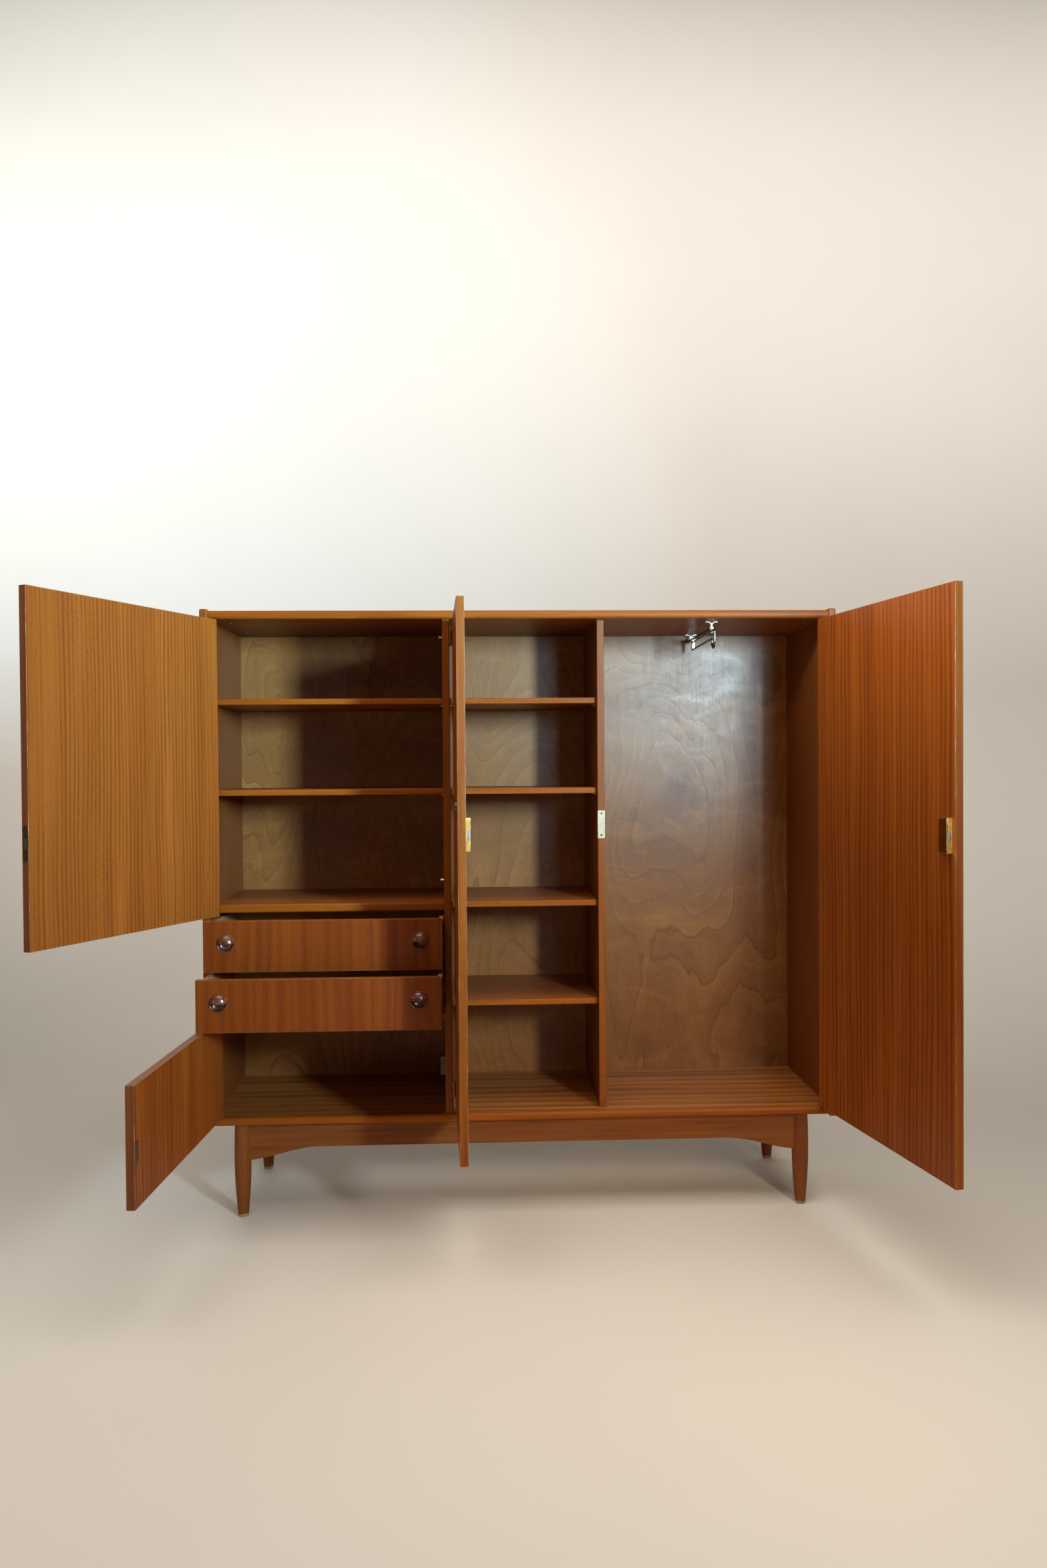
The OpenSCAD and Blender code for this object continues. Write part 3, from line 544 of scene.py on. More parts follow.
def piece(name, bm, body, materials, rule=None, grain=(Z, X), at=None, replaces=()):
    """Makes a piece: rule gives each face's material, and grain the directions along and across it.

    The grain's coordinates are those from before at moves the piece, shifted by an amount of its own.
    """
    global GRAINS
    GRAINS += 1
    if rule is not None:
        for face in bm.faces:
            face.material_index = rule(face)
    mesh = mesh_of(bm, name)
    along, across = grain
    axes = (along, across, along.cross(across))
    shifts = [shift * (0 if "back_panel" in name else GRAINS) for shift in GRAIN_SHIFT]
    store = mesh.attributes.new("grain", "FLOAT_VECTOR", "POINT")
    for vertex, value in zip(mesh.vertices, store.data):
        value.vector = [vertex.co.dot(axis) + shift for axis, shift in zip(axes, shifts)]
    if at is not None:
        mesh.transform(at)
        if at.determinant() < 0:
            mesh.flip_normals()
    for key in [materials] if isinstance(materials, str) else materials:
        mesh.materials.append(M[key])
    mesh.shade_smooth()
    mesh.set_sharp_from_angle(angle=radians(38))
    made = placed(name, mesh)
    weighted = made.modifiers.new("normals", "WEIGHTED_NORMAL")
    weighted.keep_sharp = True
    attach(made, body)
    if replaces:
        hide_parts(*replaces)
    return made


def finish_node(name, material):
    """A CAD node that stays as it is, with a better material."""
    mesh = NODES[name].data
    mesh.materials.clear()
    mesh.materials.append(M[material])


def by_normal(axis):
    """Faces square to axis are 0, their eased arrises 2, and the rest 1."""

    def rule(face):
        lean = abs(face.normal.dot(axis))
        return 0 if lean > 0.999 else 2 if lean > 0.05 else 1

    return rule


def before(level, axis=1):
    """Faces whose middle lies below level along axis are 1, and the rest 0."""
    return lambda face: int(face.calc_center_median()[axis] < level)


def screw_head(at, facing, radius, turn=0.0, proud=0.12 * MM):
    """A slotted countersunk head: a sunk disc, and two halves with the slot between them."""
    slot_half, flat_radius, slot_end = 0.14 * radius, 0.97 * radius, 8.2
    parts = [lathe([(0, -0.35 * radius), (radius, -0.2 * radius), (radius, 0), (0, 0)], 24)]
    edge = arc((0, 0), flat_radius, slot_end, 180 - slot_end, 12)
    for side in (1, -1):
        outline = [(x, side * max(y, slot_half)) for x, y in edge]
        parts.append(extruded(outline, 0, proud, (0, 1)))
    head = joined(*parts)
    spin = Matrix.Rotation(radians(turn), 4, "Z")
    face = Z.rotation_difference(Vector(facing)).to_matrix().to_4x4()
    head.transform(Matrix.Translation(at) @ face @ spin)
    return head


# ---- Carcass ----
def carcass():
    for name in ("left_side", "right_side"):
        piece(name + "_panel", slab(*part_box(name), 5 * MM, 5), "carcass", ["side", "edge", "edge"],
              by_normal(X), grain=(Z, Y), replaces=[name])
    for name, face_wood in (("top_panel", "panel"), ("bottom_panel", "floor board")):
        low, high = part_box(name)
        board = nosed(low, high, 8 * MM)
        if name == "top_panel":
            board = cut(board, *[bore(10 * MM, 12 * MM, place, Z, 32) for place in fitting_places()])
        piece(name + "_board", board, "carcass", [face_wood, "shelf edge"],
              before(low.y + 9 * MM), grain=(X, Y), replaces=[name])
    divider("left_divider", 3 * MM)
    divider("right_divider", 2 * MM)
    for name, radius in (("fixed_shelf", 4 * MM), ("drawer_floor", 3 * MM)):
        shelf(name, radius)
    for name in ("left_shelf_upper", "left_shelf_lower", *[f"middle_shelf_{i}" for i in range(1, 5)]):
        shelf(name, 2 * MM)
    piece("back_panel_sheet", slab(*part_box("back_panel"), 0.3 * MM), "carcass", "plywood",
          replaces=["back_panel"])


def divider(name, radius):
    """An upright with a nosed front, cut for the lock bolts and the strike plate."""
    low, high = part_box(name)
    upright = nosed(low, high, radius, 1, 0)
    if name == "right_divider":
        strike_low, strike_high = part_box("strike_plate")
        reach = Vector((1 * MM, 1 * MM, 0))
        upright = cut(upright, slab(strike_low - reach, strike_high + Vector((1 * MM, 0, 0)), 0))
    upright = cut(upright, *bolt_pockets(name, low, high))
    front = low.y + radius * 1.2
    pocket_face = 1e-4  # square metres; the bolt pockets' own faces are smaller

    def rule(face):
        ahead = face.calc_center_median().y < front and face.calc_area() > pocket_face
        return int(ahead or face.normal.y < -0.1)

    piece(name + "_upright", upright, "carcass",
          ["side", "edge"], rule, grain=(Z, Y), replaces=[name])


def fitting_places():
    """Centres of the four fitting caps, on the underside of the top panel."""
    low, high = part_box("panel_fitting_caps")
    inset = 13 * MM
    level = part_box("top_panel")[0].z
    sides, rows = (low.x + inset, high.x - inset), (low.y + inset, high.y - inset)
    return [Vector((x, y, level)) for x in sides for y in rows]


def bolt_pockets(name, low, high):
    """Where the locks shoot their bolts into a divider."""
    left = name == "left_divider"
    half, wide, deep, margin = 12 * MM, 8 * MM, 8 * MM, 1 * MM
    bolt_low, bolt_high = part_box("left_upper_lock_bolt")
    middle = (bolt_low.z + bolt_high.z) / 2
    bottom, top = middle - half, middle + half
    front = low.y + (6 if left else 1) * MM
    faces = [low.x] if left else [low.x, high.x - deep + margin]
    return [slab((x - margin, front, bottom), (x + deep, front + wide, top), 0) for x in faces]


def shelf(name, radius):
    low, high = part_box(name)
    piece(name + "_board", nosed(low, high, radius), "carcass", ["panel", "shelf edge"],
          before(low.y + radius * 1.5), grain=(X, Y), replaces=[name])


def cap_profile():
    """A fitting cap: a dished disc with a rolled rim, and a skirt in the panel's bore."""
    dish = arc((9.5 * MM, -3 * MM), 1.2 * MM, 180, 270, 4)
    rim = arc((11.2 * MM, -2.4 * MM), 1.8 * MM, 270, 360, 5)
    skirt = [(12.8 * MM, 0), (9.9 * MM, 0), (9.9 * MM, 10 * MM), (0, 10 * MM)]
    profile = [(0, -1.8 * MM), (8 * MM, -1.8 * MM)] + dish + rim + skirt
    return [(r, h + 1.2 * MM if h < 0 else h) for r, h in profile]


def small_fittings():
    """Caps, pins, stops, catch and strike on the carcass."""
    caps = [lathe(cap_profile(), 40, Z, place) for place in fitting_places()]
    piece("fitting_caps", joined(*caps), "carcass", "cap",
          replaces=["panel_fitting_caps"])
    finishes = {
        "shelf_pins": "brass",
        "door_stops": "brass",
        "magnet_catch": "cap",
        "carcass_hinge_leaves": "hinge brass",
        "hinge_pins": "hinge brass",
        "drawer_runners": "pale cad",
        "corner_blocks": "pale cad",
    }
    for name, material in finishes.items():
        finish_node(name, material)
    strike()


def strike():
    """The strike plate, with a screw in a sunk hole near each end."""
    low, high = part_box("strike_plate")
    middle, face = (low + high) / 2, low.y + 0.8 * MM
    reach = (high.z - low.z - 18 * MM) / 2
    places = [Vector((middle.x, face, middle.z + side * reach)) for side in (-1, 1)]
    sink = [(0, -2), (2, -2), (2, -0.4), (3.6, 1.2), (0, 1.2)]
    sink = [(r * MM, h * MM) for r, h in sink]
    plate = cut(slab(low, high, 0.25 * MM), *[lathe(sink, 32, -Y, place) for place in places])
    piece("strike", plate, "carcass", "zinc", replaces=["strike_plate"])
    heads = [screw_head(place, -Y, 3.1 * MM, 25 + 40 * i) for i, place in enumerate(places)]
    piece("strike_screws", joined(*heads), "carcass", "screw")


# ---- Leg frame ----
def leg_profile(tall):
    """Widest at a bit over half its height, with an eased foot."""
    top, widest, foot, ease, belly, steps = 21 * MM, 23 * MM, 14 * MM, 1.5 * MM, 0.62, 30
    profile = [(0, 0)] + arc((foot - ease, ease), ease, 270, 360, 3)
    for i in range(1, steps + 1):
        t = i / steps
        if t > belly:
            radius = top + (widest - top) * cos(pi / 2 * (t - belly) / (1 - belly))
        else:
            radius = foot + (widest - foot) * sin(pi / 2 * t / belly)
        profile.append((radius, tall * t))
    return profile + [(0, tall)]


def leg_frame():
    for place in ("front_left", "front_right", "rear_left", "rear_right"):
        low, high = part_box("leg_" + place)
        centre = (low + high) / 2
        turned = lathe(leg_profile(high.z), 56, Z, (centre.x, centre.y, 0))
        piece("turned_leg_" + place, turned, "carcass", ["leg", "foot"],
              before(11 * MM, 2), replaces=["leg_" + place])
    for name in ("front_apron", "rear_apron"):
        piece(name + "_rail", apron(*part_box(name), 0), "carcass", "apron",
              grain=(X, Z), replaces=[name])
    low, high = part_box("side_aprons")
    thick = 20 * MM
    left = apron(low, Vector((low.x + thick, high.y, high.z)), 1)
    right = apron(Vector((high.x - thick, low.y, low.z)), high, 1)
    piece("side_rails", joined(left, right), "carcass", "apron",
          grain=(Y, Z), replaces=["side_aprons"])


def apron(low, high, run):
    """A rail along axis run, deep at the legs and shallow between them, with eased lower arrises."""
    shallow, deep = 69 * MM, 104 * MM
    step, half = (215 * MM, 781 * MM) if run == 0 else (110 * MM, 178.5 * MM)
    count = 14
    curve = []
    for i in range(count + 1):
        rise = (deep - shallow) * (1 - cos(pi * i / count)) / 2
        curve.append((half - step * i / count, high.z - deep + rise))
    outline = [(-half, high.z), (half, high.z)] + curve + [(-a, z) for a, z in reversed(curve)]
    across = 1 - run
    bm = extruded(outline, low[across], high[across], (run, 2))
    lower = [
        e for e in bm.edges
        if all(v.co.z < high.z - shallow + MM for v in e.verts)
        and abs(e.verts[0].co[across] - e.verts[1].co[across]) < 1e-6
    ]
    return eased(bm, lower, 1.5 * MM, 3)


# ---- Doors ----
PIN_OFFSET = 4.1 * MM
DOOR_THICK = 20 * MM
DOOR_BACK = PIN_OFFSET + DOOR_THICK
DOOR_MIDDLE = PIN_OFFSET + DOOR_THICK / 2
DOOR_START = -1.6 * MM
LOCK_LEVEL = 1.077
PULL_LEVEL = 1.136
PULL_INSET = 58 * MM
PULL_DROP = 60 * MM


class Door:
    """A door's own space: x from the pin along the door, y from the pin into the wardrobe, z up."""

    def __init__(self, prefix, width):
        joint = JOINTS[prefix + "_hinge"]
        pin = Vector(joint["pos_m"])
        opened = -radians(joint["range_deg"][0])
        right = joint["axis"][2] > 0
        low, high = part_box(prefix + "_door")
        self.low, self.high = low.z, high.z
        turn = Matrix.Rotation(opened if right else -opened, 4, "Z")
        mirror = Matrix.Diagonal((-1 if right else 1, 1, 1, 1))
        at_pin = Matrix.Translation((pin.x, pin.y, 0))
        self.at = at_pin @ turn @ mirror
        self.closed = at_pin @ mirror
        self.end = DOOR_START + width


DOOR_WIDTHS = {"left_upper": 0.630, "left_lower": 0.630, "middle": 0.416, "right": 0.628}
DOORS = {prefix + "_door": Door(prefix, width) for prefix, width in DOOR_WIDTHS.items()}


def pull_bore(place):
    """A cutter for the bore that a pull's cup fills."""
    return bore(21.95 * MM, 11 * MM, place)


def doors():
    for name, door in DOORS.items():
        face = "gold door" if name == "left_upper_door" else "red door"
        edge = "dark edge" if name.startswith("left") else "edge"
        board = slab((DOOR_START, PIN_OFFSET, door.low), (door.end, DOOR_BACK, door.high), 0.8 * MM)
        pull_level = door.high - PULL_DROP if name == "left_lower_door" else PULL_LEVEL
        pull_place = Vector((door.end - PULL_INSET, PIN_OFFSET, pull_level))
        keyhole = Vector((door.end - 30 * MM, PIN_OFFSET, LOCK_LEVEL))
        cutters = [pull_bore(pull_place)]
        if name in ("middle_door", "right_door"):
            cutters.append(bore(4 * MM, 25 * MM, keyhole))
        if name == "left_upper_door":
            cutters += [bore(4 * MM, 8 * MM, keyhole), mortise(door, 0.2 * MM)]
        # The eased arrises take the paler arris wood: worn finish and a painted highlight
        piece(name + "_board", cut(board, *cutters), name, [face, edge, "door arris wear and highlight"],
              by_normal(Y), at=door.at, replaces=[name])
        piece(name + "_hooded_pull", pull_at(pull_place), name, "rosewood", grain=(X, Z), at=door.at,
              replaces=[name + "_pull"])
        finish_node(name + "_leaves", "hinge brass")
    finish_node("catch_plate", "zinc")


def pull_at(place):
    """A turned cup with a raised rim and a hood over its upper half, facing -y."""
    pull = joined(pull_cup(), pull_hood())
    pull.transform(Matrix.Translation(place))
    return pull


def pull_cup():
    rim = [(24, 0), (24, 0.5), (23.7, 1.1), (23.1, 1.5), (22.3, 1.6), (20.9, 1.5), (20.1, 1.1), (19.7, 0.4)]
    dish = [(19.6 * cos(radians(a)), -9 * sin(radians(a))) for a in range(0, 90, 9)] + [(0, -9)]
    profile = [(0, -11), (21.9, -11), (21.9, 0)] + rim + dish
    return lathe([(r * MM, h * MM) for r, h in profile], 64, -Y)


def hood_skin(bm, radius, height, lift, around, up):
    """One skin of a hood, as rows of vertices from its rim to its crown; sizes in millimetres."""
    rows = []
    for j in range(up):
        phi = pi / 2 * j / up
        row = []
        for i in range(around + 1):
            theta = pi * i / around
            x = radius * cos(phi) * cos(theta)
            z = radius * cos(phi) * sin(theta)
            row.append(bm.verts.new((x * MM, -(height * sin(phi) + lift) * MM, z * MM)))
        rows.append(row)
    rows.append([bm.verts.new((0, -(height + lift) * MM, 0))])
    for a, b in zip(rows, rows[1:]):
        for i in range(around):
            corners = (a[i], a[i + 1], b[min(i + 1, len(b) - 1)], b[min(i, len(b) - 1)])
            bm.faces.new(list(dict.fromkeys(corners)))
    return rows


def pull_hood():
    """A half dome of two skins, open below, with an eased lip."""
    hood = bmesh.new()
    around, up = 32, 14
    outer = hood_skin(hood, 23.3, 14.6, 0.4, around, up)
    inner = hood_skin(hood, 20.4, 12.2, 0.2, around, up)
    for side in (0, -1):
        for j in range(up):
            hood.faces.new((outer[j][side], outer[j + 1][side], inner[j + 1][side], inner[j][side]))
    for i in range(around):
        hood.faces.new((outer[0][i], outer[0][i + 1], inner[0][i + 1], inner[0][i]))
    outward(hood)
    level = [e for e in hood.edges if all(abs(v.co.z) < 1e-7 for v in e.verts)]
    level = [e for e in level if any(len(f.verts) == 4 for f in e.link_faces)]
    lip = [e for e in level if e.is_manifold and e.calc_face_angle(0) > radians(50)]
    return eased(hood, lip, 0.5 * MM, 2)


# ---- Locks ----
LOCK_HALF = 41 * MM
BOLT_HALF = 11 * MM


def rounded(low_x, high_x, low_z, high_z, radius, steps=5):
    corners = ((high_x - radius, high_z - radius, 0), (low_x + radius, high_z - radius, 90),
               (low_x + radius, low_z + radius, 180), (high_x - radius, low_z + radius, 270))
    return [p for x, z, a in corners for p in arc((x, z), radius, a, a + 90, steps)]


def mortise(door, play):
    """The mortise lock's case and face plate, let into the free edge."""
    case_half, plate_half, tall_half = 5.5 * MM, 7 * MM, 35 * MM
    case = slab(
        (door.end - 44 * MM - play, DOOR_MIDDLE - case_half - play, LOCK_LEVEL - tall_half - play),
        (door.end - 0.5 * MM, DOOR_MIDDLE + case_half + play, LOCK_LEVEL + tall_half + play),
        0,
    )
    near, far = DOOR_MIDDLE - plate_half, DOOR_MIDDLE + plate_half
    outline = rounded(near, far, LOCK_LEVEL - LOCK_HALF, LOCK_LEVEL + LOCK_HALF, plate_half - 0.01 * MM, 10)
    plate = extruded(outline, door.end - 2 * MM, door.end + (1 * MM if play else 0), (1, 2))
    return joined(case, plate)


def bolt_bar(low_x, high_x, low_y, high_y, spare=0.0, arris=0.0):
    """A lock bolt, or with spare the room that it slides in."""
    half = BOLT_HALF + spare
    return slab((low_x, low_y, LOCK_LEVEL - half), (high_x, high_y, LOCK_LEVEL + half), arris)


def mortise_lock():
    name, door = "left_upper_door", DOORS["left_upper_door"]
    half, room_half = 3 * MM, 3.3 * MM
    slot = bolt_bar(door.end - 30 * MM, door.end + 2 * MM,
                    DOOR_MIDDLE - room_half, DOOR_MIDDLE + room_half, 0.3 * MM)
    piece("left_upper_mortise_lock", cut(mortise(door, 0), slot), name, "mortise brass",
          at=door.at, replaces=["left_upper_lock"])
    bolt = bolt_bar(door.end - 24 * MM, door.end, DOOR_MIDDLE - half, DOOR_MIDDLE + half, 0, 0.4 * MM)
    piece("left_upper_bolt_bar", bolt, "left_upper_bolt", "bolt steel",
          at=door.at, replaces=["left_upper_lock_bolt"])
    heads = []
    for side in (-1, 1):
        place = (door.end - 0.05 * MM, DOOR_MIDDLE, LOCK_LEVEL + side * 33 * MM)
        heads.append(screw_head(place, X, 2.6 * MM, 60 * side, 0.04 * MM))
    piece("left_upper_lock_screws", joined(*heads), name, "screw", at=door.at)


def locks():
    mortise_lock()
    rim_lock("middle")
    rim_lock("right")


def rim_lock(prefix):
    """A box lock on the inner face: a brass case, a raised cover with a bevelled border, and the bolt."""
    name = prefix + "_door"
    door = DOORS[name]
    face, thick = DOOR_BACK, 12 * MM
    top = face + thick
    x1 = door.end - 12 * MM
    x0 = x1 - 36 * MM
    low, high = LOCK_LEVEL - LOCK_HALF, LOCK_LEVEL + LOCK_HALF
    case = extruded(rounded(x0, x1, low, high, 3 * MM), face, top - 1 * MM, (0, 2))
    ease_top(case, top - 1.1 * MM, 0.7 * MM, 3)
    room = bolt_bar(x1 - 29 * MM, x1 + 1 * MM, face + 4.1 * MM, face + 10.7 * MM, 0.3 * MM)
    key = bore(4 * MM, 6 * MM, Vector((x0 + 18 * MM, face, LOCK_LEVEL)))
    piece(prefix + "_lock_case", cut(case, room, key), name, "brass",
          at=door.at, replaces=[prefix + "_lock"])
    border = 3 * MM
    outline = rounded(x0 + border, x1 - border, low + border, high - border, 2 * MM)
    cover = extruded(outline, top - 1.05 * MM, top, (0, 2))
    ease_top(cover, top - 0.05 * MM, 0.8 * MM, 2)
    piece(prefix + "_lock_cover", cover, name, "cover brass", at=door.at)
    inset = 2.6 * MM
    corners = [(x, z) for x in (x0 + inset, x1 - inset) for z in (low + inset, high - inset)]
    rivets = [rivet((x, top - 1 * MM, z)) for x, z in corners]
    piece(prefix + "_lock_rivets", joined(*rivets), name, "brass", at=door.at)
    bolt = bolt_bar(x1 - 24 * MM, x1, face + 4.4 * MM, face + 10.4 * MM, 0, 0.5 * MM)
    piece(prefix + "_bolt_bar", bolt, prefix + "_bolt", "bolt steel",
          at=door.at, replaces=[prefix + "_lock_bolt"])


def ease_top(bm, above, offset, segments):
    """Bevels the edges that lie above a level of y."""
    eased(bm, [e for e in bm.edges if all(v.co.y > above for v in e.verts)], offset, segments)


def rivet(at):
    radius, tall = 1.1 * MM, 0.55 * MM
    dome = [(radius * cos(radians(a)), tall * sin(radians(a))) for a in range(0, 90, 18)]
    return lathe([(0, -0.3 * MM), (radius, -0.3 * MM)] + dome + [(0, tall)], 20, Y, at)


def hinge_screws():
    """Two slotted screws in each leaf, on the carcass and on the door."""
    from_pin, radius = 13.5 * MM, 2.3 * MM
    fixed = []
    for name, door in DOORS.items():
        low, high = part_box(name + "_leaves")
        levels = [z + lift * MM for z in (low.z, high.z - 40 * MM) for lift in (7, 33)]
        heads = []
        for i, level in enumerate(levels):
            head = screw_head((-3.1 * MM, from_pin, level), X, radius, 37 * i)
            head.transform(door.closed)
            if door.closed.determinant() < 0:
                bmesh.ops.reverse_faces(head, faces=head.faces)
            fixed.append(head)
            heads.append(screw_head((DOOR_START - 1 * MM, from_pin, level), -X, radius, 20 + 51 * i))
        piece(name + "_hinge_screws", joined(*heads), name, "hinge brass", at=door.at)
    piece("carcass_hinge_screws", joined(*fixed), "carcass", "hinge brass")


# ---- Drawers ----
def drawers():
    for prefix in ("upper_drawer", "lower_drawer"):
        low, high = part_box(prefix + "_front")
        sides = (low.x + PULL_INSET, high.x - PULL_INSET)
        places = [Vector((x, low.y, high.z - PULL_DROP)) for x in sides]
        front = cut(slab(low, high, 0.7 * MM), *[pull_bore(place) for place in places])
        # The eased arrises take the paler arris wood: worn finish and a painted highlight
        piece(prefix + "_face", front, prefix, ["drawer", "edge", "arris"],
              by_normal(Y), replaces=[prefix + "_front"])
        pulls = joined(*[pull_at(place) for place in places])
        piece(prefix + "_hooded_pulls", pulls, prefix, "rosewood",
              grain=(X, Z), replaces=[prefix + "_pulls"])
        drawer_box(prefix)


def drawer_box(prefix):
    """Two grooved sides and a back. The runners slide in the grooves."""
    low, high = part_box(prefix + "_box")
    thick, play, groove_low, groove_high = 12 * MM, 0.1 * MM, 35.6 * MM, 50.4 * MM
    sides = []
    for x, left in ((low.x, True), (high.x - thick, False)):
        board = slab((x, low.y, low.z), (x + thick, high.y, high.z), 1.2 * MM, 3)
        groove_x = x - 1 * MM if left else x + thick - 7 * MM
        groove = slab(
            (groove_x, low.y - MM, low.z + groove_low),
            (groove_x + 8 * MM, high.y + MM, low.z + groove_high),
            0,
        )
        sides.append(cut(board, groove))
    back = slab(
        (low.x + thick + play, high.y - thick, low.z + 10 * MM),
        (high.x - thick - play, high.y, high.z - 6 * MM),
        0.8 * MM,
    )
    piece(prefix + "_sides", joined(*sides, back), prefix, "pale",
          grain=(Y, Z), replaces=[prefix + "_box"])
    piece(prefix + "_base", slab(*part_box(prefix + "_bottom"), 0.3 * MM), prefix, "pale",
          grain=(X, Y), replaces=[prefix + "_bottom"])


# ---- Valet rail ----
ROD_DROP = 18 * MM
ROD_RADIUS = 3.5 * MM
SLIDE_DROP = 26.5 * MM


def valet_rail():
    slide_low, slide_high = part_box("valet_slide")
    x = (slide_low.x + slide_high.x) / 2
    low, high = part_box("valet_guide")
    ceiling = high.z
    front, rear = low.y + 10 * MM, low.y + 314 * MM
    rod = guide_rod((x, low.y, ceiling - ROD_DROP), high.y - low.y)
    sleeves = bracket(x, front, ceiling, True) + bracket(x, rear, ceiling, False)
    piece("valet_guide_rail", joined(rod, *sleeves), "carcass", "bronze",
          replaces=["valet_guide"])
    arms = [bracket_arm(x, y, ceiling, side) for y in (front, rear) for side in (-1, 1)]
    piece("valet_bracket_arms", joined(*arms), "carcass", "chrome")
    slide = valet_slide(x, ceiling, slide_low, slide_high)
    piece("valet_slide_bar", slide, "valet_slide", "chrome", replaces=["valet_slide"])


def guide_rod(at, length):
    """The fixed rod, with eased ends."""
    ease = 0.6 * MM
    end = [(0, 0), (ROD_RADIUS - ease, 0), (ROD_RADIUS, ease)]
    return lathe(end + [(r, length - h) for r, h in reversed(end)], 32, Y, at)


def valet_slide(x, ceiling, low, high):
    """A bent wire frame with a hook at its front, a tie at its rear and a ring round the guide rod."""
    bar, turn, bend = 3 * MM, 17 * MM, 6 * MM
    top, bottom = ceiling - SLIDE_DROP, ceiling - 49 * MM
    near, far = low.y + bar, high.y - 7 * MM
    hook = low.z + bar + turn
    loop = [(x, y, z) for y, z in arc((near + turn, hook), turn, 180, 360, 15)]
    upper = filleted([(x, far, top), (x, near, top), (x, near, hook)], bend)
    lower = filleted([(x, near + 2 * turn, hook), (x, near + 2 * turn, bottom), (x, far, bottom)], bend)
    wire = swept(upper[:-1] + loop + lower[1:], bar)
    half = 7 * MM
    tie_top = ceiling - 22.5 * MM
    tie = slab((x - 4 * MM, far - half, bottom - bar), (x + 4 * MM, far + half, tie_top), 1 * MM)
    inner, outer, ease = ROD_RADIUS + 0.08 * MM, 6.5 * MM, 0.6 * MM
    outline = [(inner, 0), (outer - 0.5 * MM, 0), (outer, ease), (outer, 2 * half - ease)]
    outline += [(outer - 0.5 * MM, 2 * half), (inner, 2 * half), (inner, 0)]
    ring = lathe(outline, 36, Y, (x, far - half, ceiling - ROD_DROP))
    bmesh.ops.delete(ring, geom=[f for f in ring.faces if len(f.verts) > 4], context="FACES_ONLY")
    bmesh.ops.remove_doubles(ring, verts=ring.verts, dist=1e-6)
    return joined(wire, tie, ring)


def bracket(x, y, ceiling, eye):
    """The ring of a bracket round the guide rod, with a lower eye for the sliding rod at the front."""
    half = 6 * MM
    parts = [tube(ROD_RADIUS, 5.6 * MM, 2 * half, (x, y - half, ceiling - ROD_DROP))]
    if eye:
        parts.append(tube(3.08 * MM, 5 * MM, 2 * half, (x, y - half, ceiling - SLIDE_DROP)))
    return parts


def tube(inner, outer, length, at):
    """A short sleeve along y."""
    ease = 0.5 * MM
    outline = [(inner, 0), (outer - ease, 0), (outer, ease)]
    outline += [(outer, length - ease), (outer - ease, length), (inner, length)]
    bm = lathe(outline, 36, Y, at)
    caps = [f for f in bm.faces if len(f.verts) > 4]
    bmesh.ops.delete(bm, geom=caps, context="FACES_ONLY")
    rims = [e for e in bm.edges if e.is_boundary]
    bmesh.ops.bridge_loops(bm, edges=rims)
    return outward(bm)


def bracket_arm(x, y, ceiling, side):
    """A curved strap from the ring up to a foot that is screwed under the top panel."""
    thick, arm, half = 1.6 * MM, 11 * MM, 6 * MM
    off_middle, below, foot_end = 0.2 * MM, -arm - 3 * MM, side * 17 * MM
    start = 180 if side > 0 else 0
    skins = []
    for inset in (0, thick):
        bend = arc((side * arm, -arm), arm - inset, start, 90, 10)
        skins.append([(side * (off_middle + inset), below)] + bend + [(foot_end, -inset)])
    outline = [(x + a, ceiling + b) for a, b in skins[0] + skins[1][::-1]]
    return extruded(outline, y - half, y + half, (0, 2))


# ---- Stage, lights and camera ----
def stage():
    """A seamless paper sweep: floor, curve and wall."""
    back, radius, front, tall, wide = 3.9, 1.8, -9.0, 6.5, 9.0
    curve = arc((back - radius, radius), radius, 270, 360, 24)
    profile = [(front, 0.0)] + curve + [(back, tall)]
    bm = bmesh.new()
    rows = [[bm.verts.new((x, y, z)) for y, z in profile] for x in (-wide, wide)]
    for i in range(len(profile) - 1):
        bm.faces.new((rows[0][i], rows[0][i + 1], rows[1][i + 1], rows[1][i]))
    outward(bm)
    sweep = placed("paper_sweep", mesh_of(bm, "paper_sweep"))
    sweep.data.shade_smooth()
    sweep.data.materials.append(M["paper"])


def lamp(name, at, aim, size, power, colour, spread=180):
    """A soft rectangular lamp at a place, aimed at another; power in watts, spread in degrees."""
    data = bpy.data.lights.new(name, "AREA")
    data.shape = "RECTANGLE"
    data.size, data.size_y = size
    data.energy, data.color = power, colour
    data.spread = radians(spread)
    made = placed(name, data)
    made.location = at
    made.rotation_euler = (Vector(aim) - Vector(at)).to_track_quat("-Z", "Y").to_euler()
    made.visible_camera = False
    return made


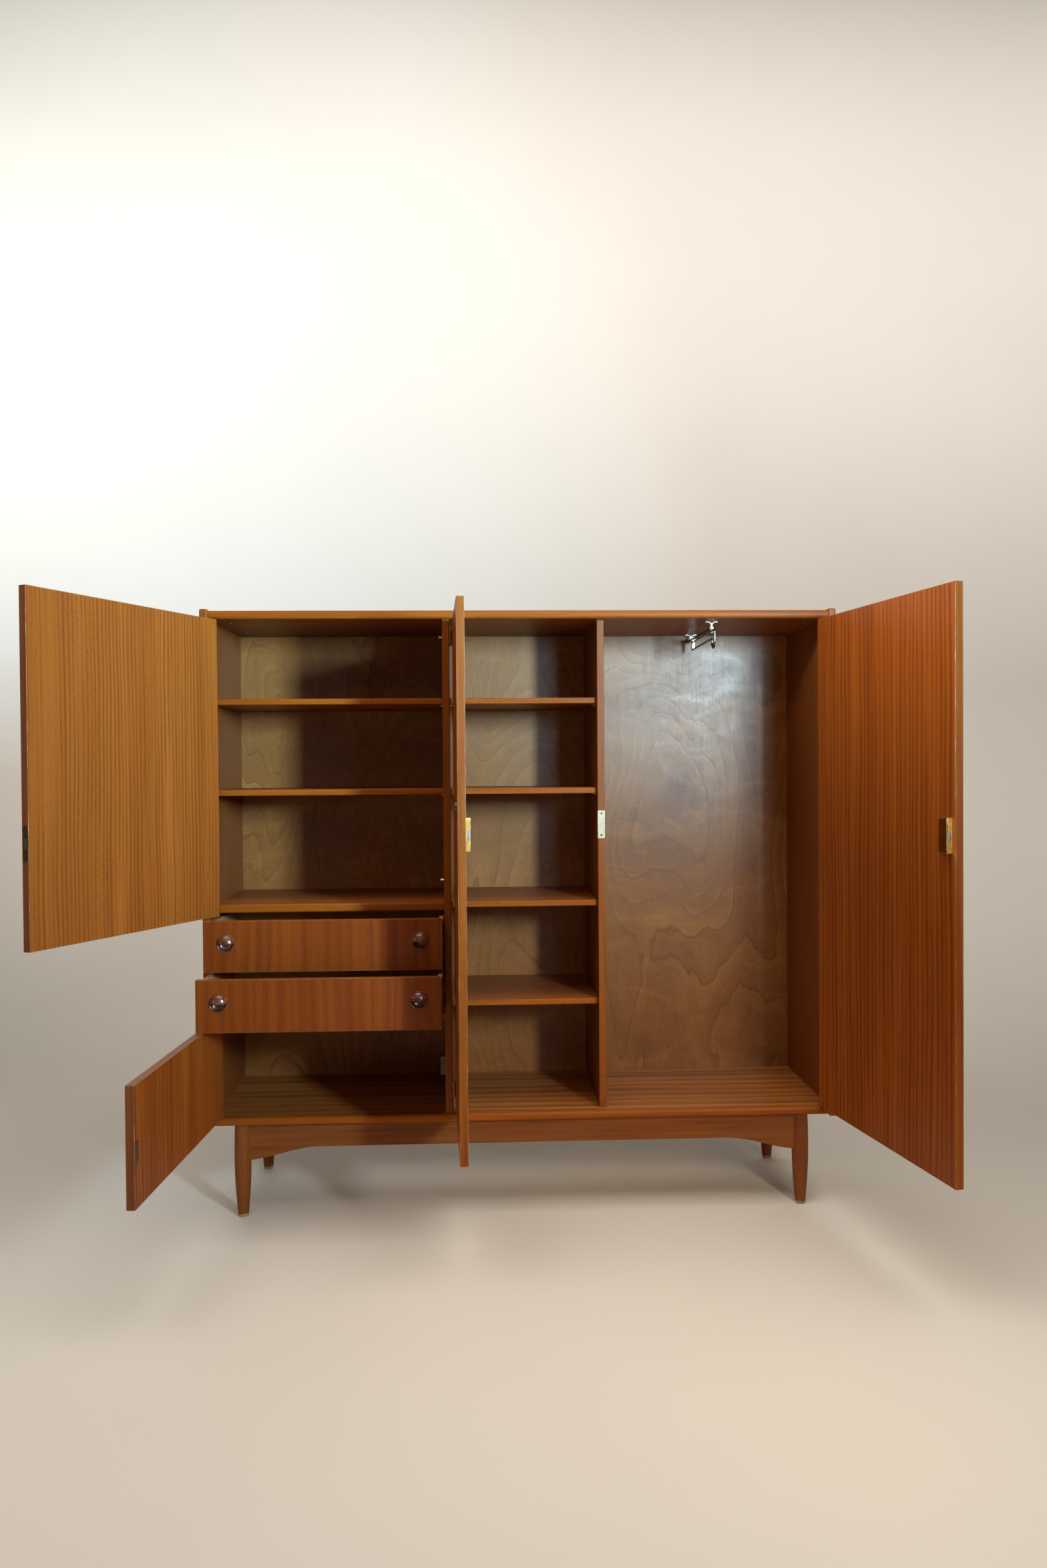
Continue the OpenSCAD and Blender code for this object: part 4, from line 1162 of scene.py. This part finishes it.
def lights():
    lamp("window", (1.38, -3.0, 1.75), (-1.0, 0.2, 2.35), (0.22, 0.7), 52, (0.50, 0.90, 1.2), 74)
    lamp("overhead", (0.0, -1.4, 3.7), (0, -1.2, 0), (4.6, 2.0), 50, (1.0, 0.96, 0.90), 100)
    lamp("side", (-3.0, -2.4, 1.6), (0.9, -0.5, 1.0), (1.2, 1.6), 6.5, (1.0, 0.84, 0.64))
    lamp("side_high", (-2.4, -2.2, 3.0), (1.1, -0.7, 2.0), (0.5, 0.5), 6, (1.0, 0.98, 0.72), 29)
    lamp("window_low", (1.38, -3.0, 1.6), (0.1, -0.2, 0.15), (0.22, 0.7), 3.6, (1.0, 0.84, 0.58), 56)
    lamp("fill", (-0.7, -5.0, 1.3), (-0.3, 0, 1.2), (1.6, 1.0), 6, (1.0, 0.55, 0.28))
    lamp("room", (-0.4, -6.0, 4.4), (0, 0, 1.2), (3.0, 1.5), 25, (1.0, 0.76, 0.53))
    lamp("wall_left", (-4.5, 0.4, 4.2), (-3.4, 3.9, 3.9), (2.2, 2.2), 72, (1.0, 0.97, 0.93), 115)
    lamp("wall_top", (1.8, -0.4, 7.2), (2.0, 3.9, 3.6), (9.0, 1.2), 188, (1.0, 0.98, 0.96), 92)
    lamp("far_floor", (0, -9.0, 5.0), (0, -9.0, 0), (14, 3.0), 90, (1.0, 0.96, 0.90), 90)
    # The window pane's gleam on polished wood; it lights nothing else
    pane = lamp("pane", (1.3, -3.3, 1.79), (0.6, 0.2, 1.5), (0.9, 0.78), 62, (0.80, 0.95, 1.0), 120)
    pane.visible_diffuse = False
    studio_world()


def studio_world():
    """A pale surround to look at that gives hardly any light of its own."""
    world = bpy.data.worlds.new("studio")
    world.use_nodes = True
    tree = world.node_tree
    dim = tree.nodes["Background"]
    dim.inputs[0].default_value = (1.0, 0.93, 0.86, 1)
    dim.inputs[1].default_value = 0.03
    seen = tree.nodes.new("ShaderNodeBackground")
    seen.inputs[0].default_value = (0.72, 0.67, 0.60, 1)
    mixed = tree.nodes.new("ShaderNodeMixShader")
    path = tree.nodes.new("ShaderNodeLightPath")
    for socket, source in enumerate((path.outputs["Is Camera Ray"], dim.outputs[0], seen.outputs[0])):
        tree.links.new(source, mixed.inputs[socket])
    tree.links.new(mixed.outputs[0], tree.nodes["World Output"].inputs[0])
    bpy.context.scene.world = world


def camera():
    """The camera that was fitted to the photograph: place, turn in degrees, and lens in millimetres."""
    place, yaw, pitch, roll, lens = (-0.1165, -3.1921, 1.2355), -2.309, -0.842, -0.412, 24.83
    data = bpy.data.cameras.new("camera")
    data.sensor_width, data.lens = 36.0, lens
    data.clip_end = 60
    made = placed("camera", data)
    turn = Matrix.Rotation(radians(yaw), 4, "Z")
    turn @= Matrix.Rotation(pi / 2 + radians(pitch), 4, "X")
    turn @= Matrix.Rotation(radians(roll), 4, "Z")
    made.matrix_world = Matrix.Translation(place) @ turn
    bpy.context.scene.camera = made
    bpy.context.scene.view_settings.view_transform = "Standard"


camera()
stage()
lights()
carcass()
small_fittings()
leg_frame()
doors()
locks()
hinge_screws()
drawers()
valet_rail()
